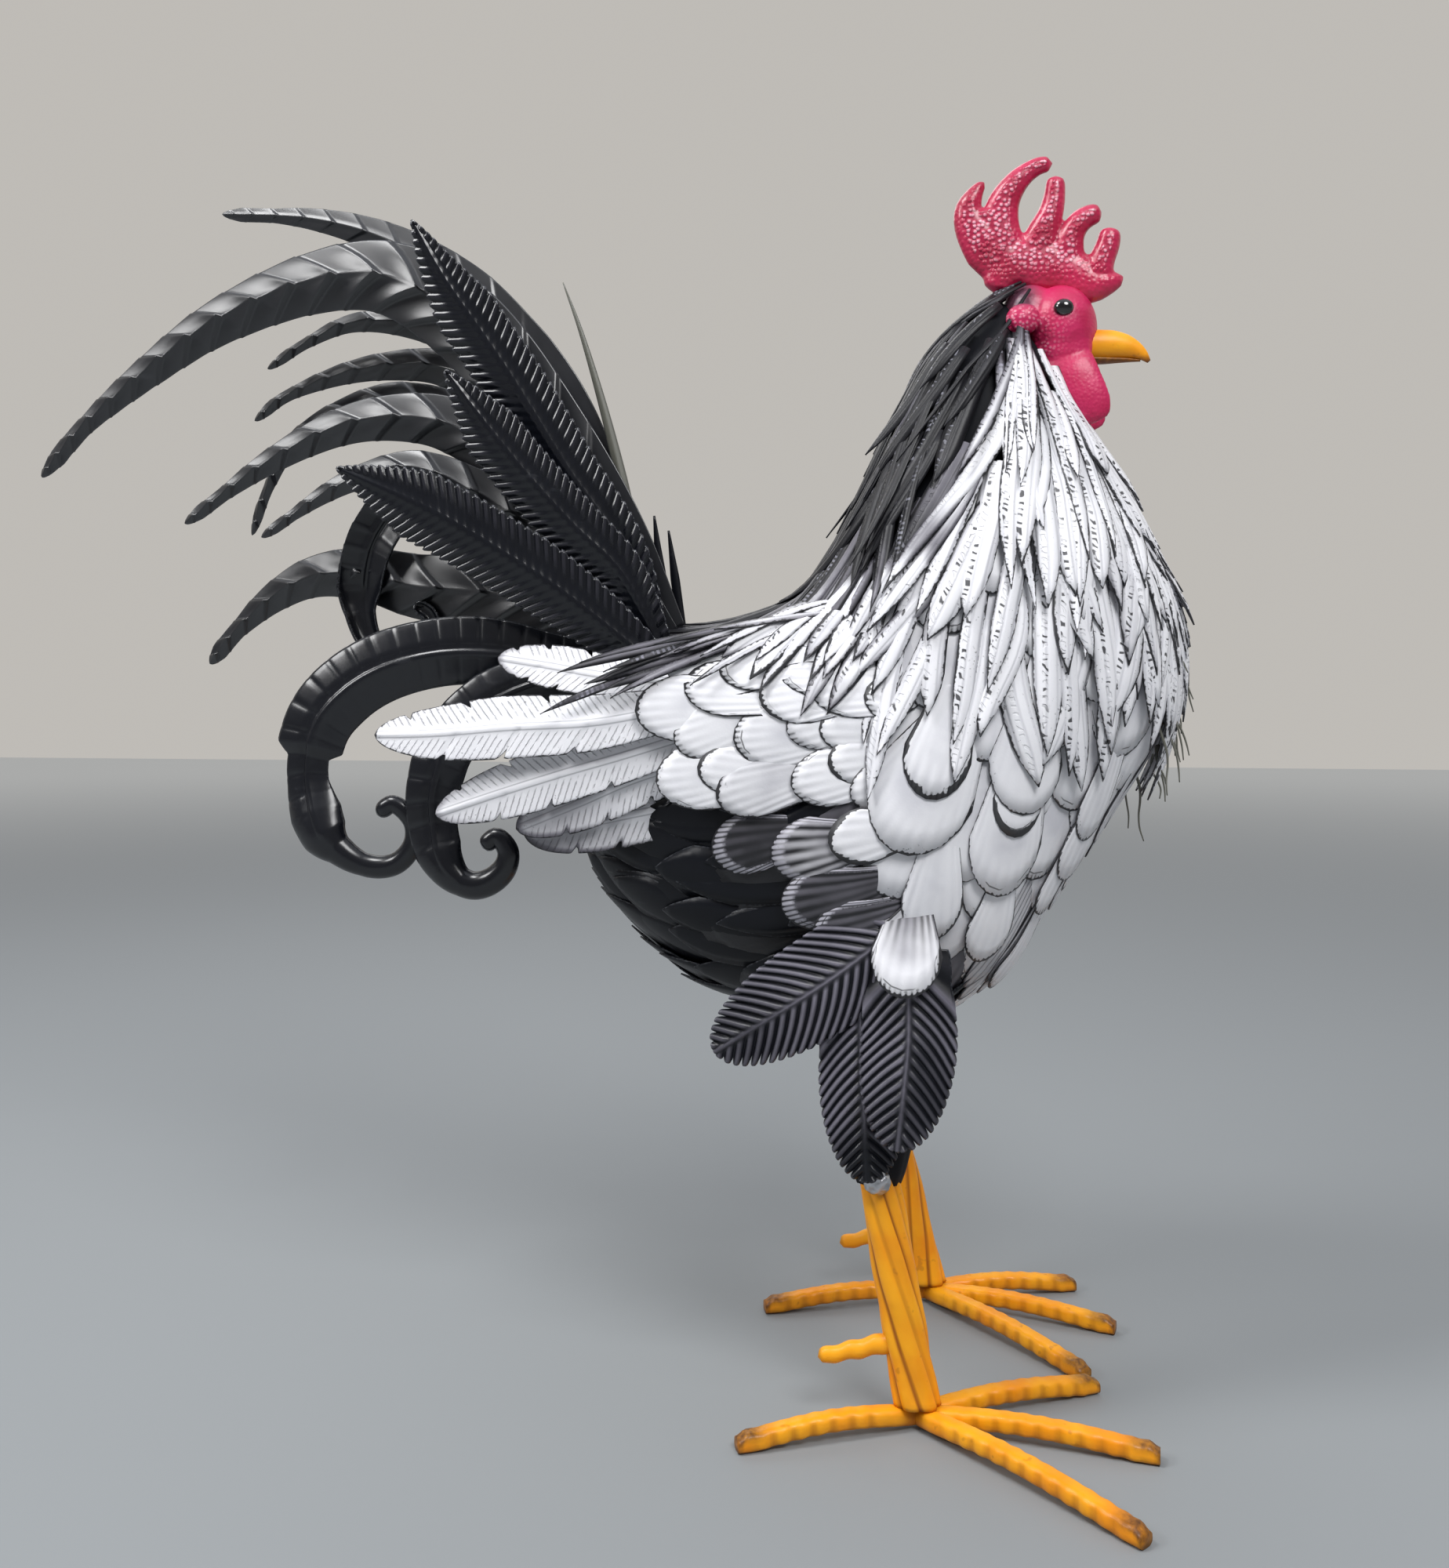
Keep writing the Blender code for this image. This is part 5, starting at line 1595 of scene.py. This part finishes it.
legFeathers = {
    # distance from the middle at root and tip on the left, width, lean in radians, ribs, darkness of the
    # outer end, of the outer half, midrib
    "leg_feather_back": ((82, 94), 47, -0.1, 19, 0.6, 0, [
        (-1, 236), (-19, 222), (-39, 207), (-60, 193), (-93, 172)]),
    "leg_feather_low": ((82, 88), 41, 0.0, 16, 1.0, 0, [
        (-26, 200), (-25, 178), (-24, 153), (-23, 135), (-22, 113)]),
    "leg_feather_front": ((84, 97), 44, 0.0, 16, 0.6, 0.75, [
        (-2, 222), (-3, 201), (-3, 179), (-5, 158), (-8, 131)]),
}
legLook = {
    "across": [0.05, 0.14, 0.28, 0.44, 0.6, 0.76, 0.92, 1], "rowsPerRib": 8, "sweep": 0.75, "hook": 0.9,
    "ribHeight": 1.7, "fold": 0.10, "spineHeight": 1.3, "spineWidth": 1.3,
}


def legRise(ribs):
    # deep slanting ribs from the midrib to the edge, under a raised midrib
    look, wave = legLook, ribWave(ribs, 1.3)

    def rise(share, t, half, aside):
        band = step(np.abs(aside), look["spineWidth"] * 0.7, look["spineWidth"] * 2.0)
        band = band * step(share, 0.0, 0.08)
        spine = np.exp(-(aside / look["spineWidth"]) ** 2)
        height = look["fold"] * (half - np.abs(aside)) + look["ribHeight"] * band * wave(share)
        return height + look["spineHeight"] * spine, np.clip(band * wave(share) + spine, 0, 1)
    return rise


def scallopsOf(pitch):
    # a scalloped edge: one notch for each rib, deeper from about the tenth on
    def cut(reach, t):
        wave = (0.5 + 0.5 * np.cos(2 * math.pi * reach / pitch)) ** 3
        return (0.04 + 0.20 * step(reach, pitch * 9, pitch * 14)) * wave
    return cut


def legFeatherSheets():
    # broad ribbed feathers round the thigh, with pale rib tops at the root, partly dust and partly painted
    # glints, and dark at the end
    look = legLook
    for name, (layer, width, lean, ribs, dim, outerDark, path) in legFeathers.items():
        starts = np.linspace(0, 1, ribs * look["rowsPerRib"] + 1)
        scallops = scallopsOf(pathLength(path) / ribs)
        for side, word, there in mirrored(layer):

            def tone(share, aside, dim=dim, outerDark=outerDark, side=side):
                darkHalf = outerDark * step(side * aside, -3, 3) * step(share, 0.2, 0.5)
                return np.maximum(dim * step(share, 0.45, 0.85), darkHalf)

            sheet = featherSheet(path, there, width, lambda share: paddle(share, 0.48, 0.80, 2.1), starts,
                                 bothWays(look["across"]), legRise(ribs), look["sweep"], lean, scallops,
                                 look["hook"])
            addFeather(f"{name}_{word}", "_ribbed", sheet, "leg", "black_paint", tone=tone)


thighPetalLook = {
    "midline": [(-1, 74, 262), (-3, 86, 230), (-6, 98, 200)], "width": 33, "rim": 0.8, "rootShadowTone": 0.95,
    "tone": 0.12,
}


def thighPetals():
    # a pale petal, dark at its root partly by airbrushing and partly by painted shadow under the petals
    # above, hangs over the roots of each side's leg feathers
    look = thighPetalLook
    # the root's darkness is partly painted shadow under the petals above
    fade = np.linspace(look["rootShadowTone"], 0.1, petalGrid["rows"]).clip(look["tone"], 1)[None, :, None] ** 1.5
    for side, word in sides:
        line = smoothPath([onSide(place, side) for place in look["midline"]], midlineRows)[None]
        ahead = unit(np.gradient(line, axis=1))
        out = np.cross([0.0, 0, 1], np.cross(ahead, [0.0, side, 0]))
        out = unit(out + [0.0, 1.5 * side, 0])
        out = unit(out - ahead * (out * ahead).sum(-1, keepdims=True))
        length, width, rim = np.array([[lineLength(line[0])], [look["width"]], [look["rim"]]])
        petalSheets(f"thigh_petal_{word}", (line, ahead, out), length, width, fade, rim=rim,
                    grooved=np.ones(1), bend=60.0, narrow=0.15)


quillLook = {
    "midrib": [(-138, 378), (-148, 418), (-158, 460), (-167, 494), (-178, 530), (-188, 557)],
    "layer": (-18, -17), "width": 6, "thickness": 0.9,
}


def frontQuill():
    # a bare rolled quill, folded along the middle
    look = quillLook
    sheet = featherSheet(look["midrib"], look["layer"], look["width"], lambda share: blade(share, 0.4),
                         np.linspace(0, 1, 60), bothWays([0.2, 0.6, 1]),
                         lambda share, t, half, aside: (0.5 * (half - np.abs(aside)), 0.0))
    addFeather("quill_front_left", "_rolled", sheet, "quill", "black_paint", look["thickness"])


sickles()
ribbedTail()
curls()
wings()
legFeatherSheets()
thighPetals()
frontQuill()
print("feathers stamped")


# comb, face, beak and eyes

combLook = {
    # x and z along each lobe, and its half width there
    "lobes": [
        ([(38, 545), (41, 554), (46.5, 559.5), (54, 560.5), (64, 559.5), (76, 554), (86, 548), (95, 548.5),
          (102, 551.5)], [6, 10.5, 13, 14.5, 14.5, 12.5, 11.5, 6.5, 2.5]),
        ([(52, 552), (42, 562), (29, 577), (24, 588), (27, 597), (32, 604)], [12, 13.5, 14, 10.2, 6, 1.8]),
        ([(31, 578), (34, 589.5)], [11, 6.2]),
        ([(44, 562), (40, 577), (41.5, 591), (48.5, 602.5), (58, 609.5), (66.5, 611)],
         [12, 11, 9.2, 7, 5, 3.8]),
        ([(58, 562), (62, 576), (66, 587), (67.6, 596), (68, 604.5)], [12, 9.5, 6.8, 5.6, 4.6]),
        ([(73, 557), (75, 571), (79, 579), (84.5, 583), (91, 584.5)], [11, 8.4, 6.6, 5.8, 4.9]),
        ([(88, 548), (91, 560), (94, 568), (95.5, 576.5)], [10, 6.8, 6.2, 5.4])],
    "halfThick": 6.2, "voxel": 0.9, "softened": 6,
}


def comb():
    # a padded blade with five fingers, each an oval profile along its own line, fused into one skin; it
    # is flat, and so hammered, where it faces sideways above its foot
    look = combLook
    parts = []
    for line, half in look["lobes"]:
        thick = np.minimum(np.asarray(half) * 0.95, look["halfThick"])
        parts.append(pathTube([(x, 0, z) for x, z in line], half, thick, 20, 26))
    piece = addPiece("padded_comb", *joinMeshes(parts), {}, "crimson", "red_paint", ("comb",))
    points, normals = melt(piece, look["voxel"], look["softened"])
    addMark(piece.data, "flat", step(np.abs(normals[:, 1]), 0.88, 0.99) * step(points[:, 2], 545, 566))


faceForm = {
    # centre and radii of each ball, and the wattle's line; y is for the left side
    "skull": ((70.5, 0, 525.5), (18.4, 18.2, 22.5)), "napeEnd": ((55.5, 0, 533.5), (15, 13.5, 15.4)),
    "jaw": ((71, 7, 514), (15, 9, 12)), "earLobe": ((51, 17, 527.5), (8.8, 6, 8)),
    "wattle": [(67, 6, 514), (73, 12, 501), (79, 14, 489), (83.4, 13.5, 480), (85.2, 13, 474)],
    "wattleHalfWide": [16, 15.8, 14.8, 13.6, 12.6], "wattleHalfThick": [7, 6, 4.8, 4.2, 4],
    "voxel": 1.0, "softened": 14,
}


def face():
    # one mask: skull, nape end, jaws, ear lobes and two wattles fused into one skin
    form = faceForm
    parts = [ballMesh(*form["skull"]), ballMesh(*form["napeEnd"])]
    for side in (-1, 1):
        for lump in ("jaw", "earLobe"):
            centre, radii = form[lump]
            parts.append(ballMesh(onSide(centre, side), radii))
        line = [onSide(place, side) for place in form["wattle"]]
        parts.append(pathTube(line, form["wattleHalfWide"], form["wattleHalfThick"]))
    piece = addPiece("face_and_wattles", *joinMeshes(parts), {}, "face", "red_paint", ("head",))
    points, normals = melt(piece, form["voxel"], form["softened"])
    x, z = points[:, 0], points[:, 2]
    addMark(piece.data, "overspray", step(-x, -63, -51) * step(z, 531, 537))
    lobe = step(-x, -76, -60) * step(-z, -536, -530) * step(z, 506, 514)
    addMark(piece.data, "flecked", np.clip(np.maximum(lobe, step(-z, -483, -474) * 0.5), 0, 1))


def addOrange(name, mesh, marks, node):
    # a beak, leg or toe in place of its CAD node
    addPiece(name, *mesh, marks, "orange", "orange_paint", (node,))


beakLook = {
    # x and z along each half, with its half height and half width there
    "upper": [(82, 516.5, 8.2, 7.6), (90, 516.6, 8.1, 7.4), (98, 516.3, 7.6, 6.6), (105, 514.6, 6.2, 5.0),
              (110.5, 511.6, 3.8, 3.0), (114.3, 507.6, 1.0, 1.0)],
    "lower": [(82, 509.4, 2.0, 5.6), (92, 509.0, 1.8, 4.8), (102, 508.8, 1.3, 3.0), (110, 508.3, 0.6, 1.0)],
}


def beakHalf(stations, around, rows):
    # an oval tube through the stations
    x, z, halfTall, halfWide = np.array(stations).T
    return pathTube(np.column_stack([x, 0 * x, z]), halfTall, halfWide, around, rows, (False, False))


def beak():
    # a hooked upper half over a thin dark lower half, creased where they meet and at the face
    upper, lower = beakHalf(beakLook["upper"], 24, 40), beakHalf(beakLook["lower"], 20, 24)
    points, faces = joinMeshes([upper, lower])
    x, z = points[:, 0], points[:, 2]
    isLower = np.arange(len(points)) >= len(upper[0])
    burnt = np.maximum(step(x, 106, 115) * step(-z, -512, -507), isLower * 0.9)
    crease = np.clip(step(-z, -511, -508.5) * 0.6 + 0.5 * step(-x, -86, -83), 0, 1)
    addOrange("hooked_beak", (points, faces), {"burnt": burnt, "crease": crease}, "beak")


eyeForm = {"place": (71, 17.0, 532.5), "radii": (5.0, 3.4, 4.4)}


def eyes():
    # two glossy beads, each a stretched sphere
    for side, word in sides:
        bead = ballMesh(onSide(eyeForm["place"], side), eyeForm["radii"], 16, 26)
        addPiece(f"eye_{word}_bead", *bead, {}, "eye", "eye_enamel", ("eye_" + word,))


comb()
face()
beak()
eyes()
print("head made")


# legs, spurs and feet

feet = {
    "spacing": 144.0, "setback": {"right": 18.0, "left": 25.0}, "kneeHeight": 110.0,
    "shankFoot": 5.0, "shankRadius": 9.5, "twist": 2.0, "pleats": 7,
    "toeWidth": 9.6, "toeHeight": 8.8, "arch": 3.0, "rootLift": 1.2, "ropePitch": 9.5,
    # x and y of each toe's end from the foot's middle
    "right": {"outer": (95, -83), "middle": (109, -15), "inner": (86, 49), "back": (-80, -37)},
    "left": {"inner": (82, -85), "middle": (102, -27), "outer": (84, 28), "back": (-88, -32)},
    # the spur from its root: how far back and how high, half height, half width
    "spur": [(4, 36, 5.2, 4.6), (-16, 30, 4.6, 4.2), (-30, 26, 4.2, 3.8), (-41, 23, 3.6, 3.2)],
    "spurRoot": 0.32,
    "thighHeight": 122, "thighRadius": 9.0, "thighSwell": 16.0, "weldRadii": (6.4, 5.0, 6.2), "weldOut": 11,
}


def withHubs(values, ends):
    # a mark on a tube's rings and then on its two hubs
    return np.append(values, ends)


def shank(foot, side):
    # a folded tube of uneven pleats with sharp valleys, twisting upwards, browner in the valleys
    bottom, top = feet["shankFoot"], feet["kneeHeight"] + 2.0
    share, turn = np.linspace(0, 1, 60)[:, None], turnsRound(60)
    pleat = np.abs(np.sin(feet["pleats"] / 2 * turn + 0.35 * np.sin(2 * turn)))
    flare = 0.09 * np.sin(math.pi * share) + 0.20 * (1 - share) ** 6
    radius = feet["shankRadius"] * (1.0 + flare) * (0.83 + 0.20 * pleat ** 0.55)
    radius = radius * (1 + 0.02 * np.sin(share * 21 + turn * 2))
    angle = turn + (feet["twist"] * share * side + 0.5)
    x = -feet["setback"][foot] * share + radius * np.cos(angle)
    y = side * feet["spacing"] / 2 + 0.85 * radius * np.sin(angle)
    z = bottom + (top - bottom) * share + 0 * turn
    uneven = 0.40 + 0.60 * step(np.cos(1.5 * turn + 0.4), 0.0, 0.8)
    crease = uneven * (1.2 - 1.2 * step(pleat, 0.05, 0.5)) + 0 * share
    burnt = step(share, 0.96, 1.0) * 0.5 + step(-share, -0.03, 0.0) * 0.4 + 0 * turn
    marks = {"crease": withHubs(crease, [0, 0]), "burnt": withHubs(burnt, [0, 0])}
    addOrange(f"pleated_shank_{foot}", tubeMesh(np.stack([x, y, z], -1)), marks, "shank_" + foot)


def toe(foot, side, which, tip):
    # a bar that arches over the floor and lies flat at its end; its edges wave like a rope's
    length = math.hypot(*tip)
    ahead = np.array([tip[0] / length, tip[1] / length, 0])
    beside = np.array([-ahead[1], ahead[0], 0])
    reach, turn = np.linspace(-1.0, length, 72)[:, None], turnsRound(24)
    share = np.clip((reach - 3.5) / (length - 12.5), 0, 1)
    lift = feet["rootLift"] * (1 - share) + feet["arch"] * np.sin(math.pi * share)
    c, s = ovalAt(turn, 0.7)
    free = step(reach, 12, 26) * step(-reach, -length + 2, -length + 12)
    lump = 1 + 0.075 * free * np.sin(2 * math.pi * reach / feet["ropePitch"] + 1.3 * c) * np.abs(c) ** 0.5
    wide = feet["toeWidth"] / 2 * lump * (0.7 + 0.3 * step(reach, -1, 14))
    wide = wide * (1 - 0.10 * step(reach, length - 6, length))
    flat = 1 - 0.30 * step(reach, length - 5, length)
    tall = feet["toeHeight"] / 2 * (1 + 0.04 * free * np.sin(2 * math.pi * reach / 8.0)) * flat
    middle = floorHeight + lift + feet["toeHeight"] / 2 * flat
    upward, footMiddle = np.array([0, 0, 1.0]), np.array([0, side * feet["spacing"] / 2, 0])
    points = (ahead * reach[..., None] + beside * (wide * c)[..., None]
              + upward * (middle + tall * s)[..., None] + footMiddle)
    points[..., 2] = np.maximum(points[..., 2], floorHeight)
    burnt = step(reach, length - 20, length - 4) * step(s, 0.1, 0.8) + step(reach, length - 3, length) * 0.8
    # crease: painted shade under the toe, darker sides to the rope's lumps, and darker towards the root
    crease = (0.55 * step(-s, 0.1, 0.9) + 0.5 * step(np.abs(c), 0.75, 1.0) * free * (0.5 - 0.5 * lump) * 26
              + 0.85 * step(-reach, -13, -2))
    marks = {"burnt": withHubs(burnt.clip(0, 1), [0, 0.8]), "crease": withHubs(crease.clip(0, 1), [0, 0])}
    addOrange(f"bar_toe_{which}_{foot}", tubeMesh(points), marks, f"toe_{which}_{foot}")


def spur(foot, side):
    # a lumpy rod with a rounded end, low on the back of the shank
    root = -feet["setback"][foot] * feet["spurRoot"]
    back, z, halfTall, halfWide = np.array(feet["spur"], float).T
    line = np.column_stack([root + back, 0 * z + side * feet["spacing"] / 2, z])
    points, faces = pathTube(line, halfTall, halfWide, 16, 30, (False, True))
    along = (root - points[:, 0]) / -back[-1]
    points[:, 2] += 0.5 * np.sin(along * 22)
    marks = {"burnt": step(along, 0.93, 1.0) * 0.5, "crease": step(-along, -0.10, 0.0) * 1.3}
    addOrange(f"lumpy_spur_{foot}", (points, faces), marks, "spur_" + foot)


def thigh(foot, side):
    # the dark upper leg inside the leg feathers, a fluted cone
    share, turn = np.linspace(0, 1, 24)[:, None], turnsRound(32)
    half = feet["thighRadius"] + feet["thighSwell"] * np.minimum(1, 1.4 * share) ** 0.8
    half = half * (1 + 0.04 * np.cos(turn * 9))
    x = -feet["setback"][foot] - 2 * share + half * 1.15 * np.cos(turn)
    y = side * (feet["spacing"] / 2 - 12 * share) + half * 0.78 * np.sin(turn)
    z = feet["kneeHeight"] - 2 + feet["thighHeight"] * share + 0 * turn
    mesh = tubeMesh(np.stack([x, y, z], -1))
    addPiece(f"thigh_core_{foot}", *mesh, {}, "shell", "black_paint", ("thigh_" + foot,))


def kneeWeld(foot, side):
    # a lumpy bead of weld on the outer side of the knee
    y = side * (feet["spacing"] / 2 + feet["weldOut"])
    centre = np.array([-feet["setback"][foot], y, feet["kneeHeight"] + 2])
    points, faces = ballMesh(centre, feet["weldRadii"], 18, 26)
    swell = 1 + 0.07 * np.sin(points[:, 0] * 1.3) * np.cos(points[:, 2] * 1.1)
    points = centre + (points - centre) * swell[:, None]
    addPiece(f"weld_bead_{foot}", points, faces, {}, "steel", "bare_weld", ("knee_weld_" + foot,))


for side, foot in sides:
    shank(foot, side)
    spur(foot, side)
    thigh(foot, side)
    kneeWeld(foot, side)
    for which, tip in feet[foot].items():
        toe(foot, side, which, tip)
print("legs and feet made")


def corners(box):
    return [list(corner) for corner in box]


{"cad": corners(cadBox), "visual": corners(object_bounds())}
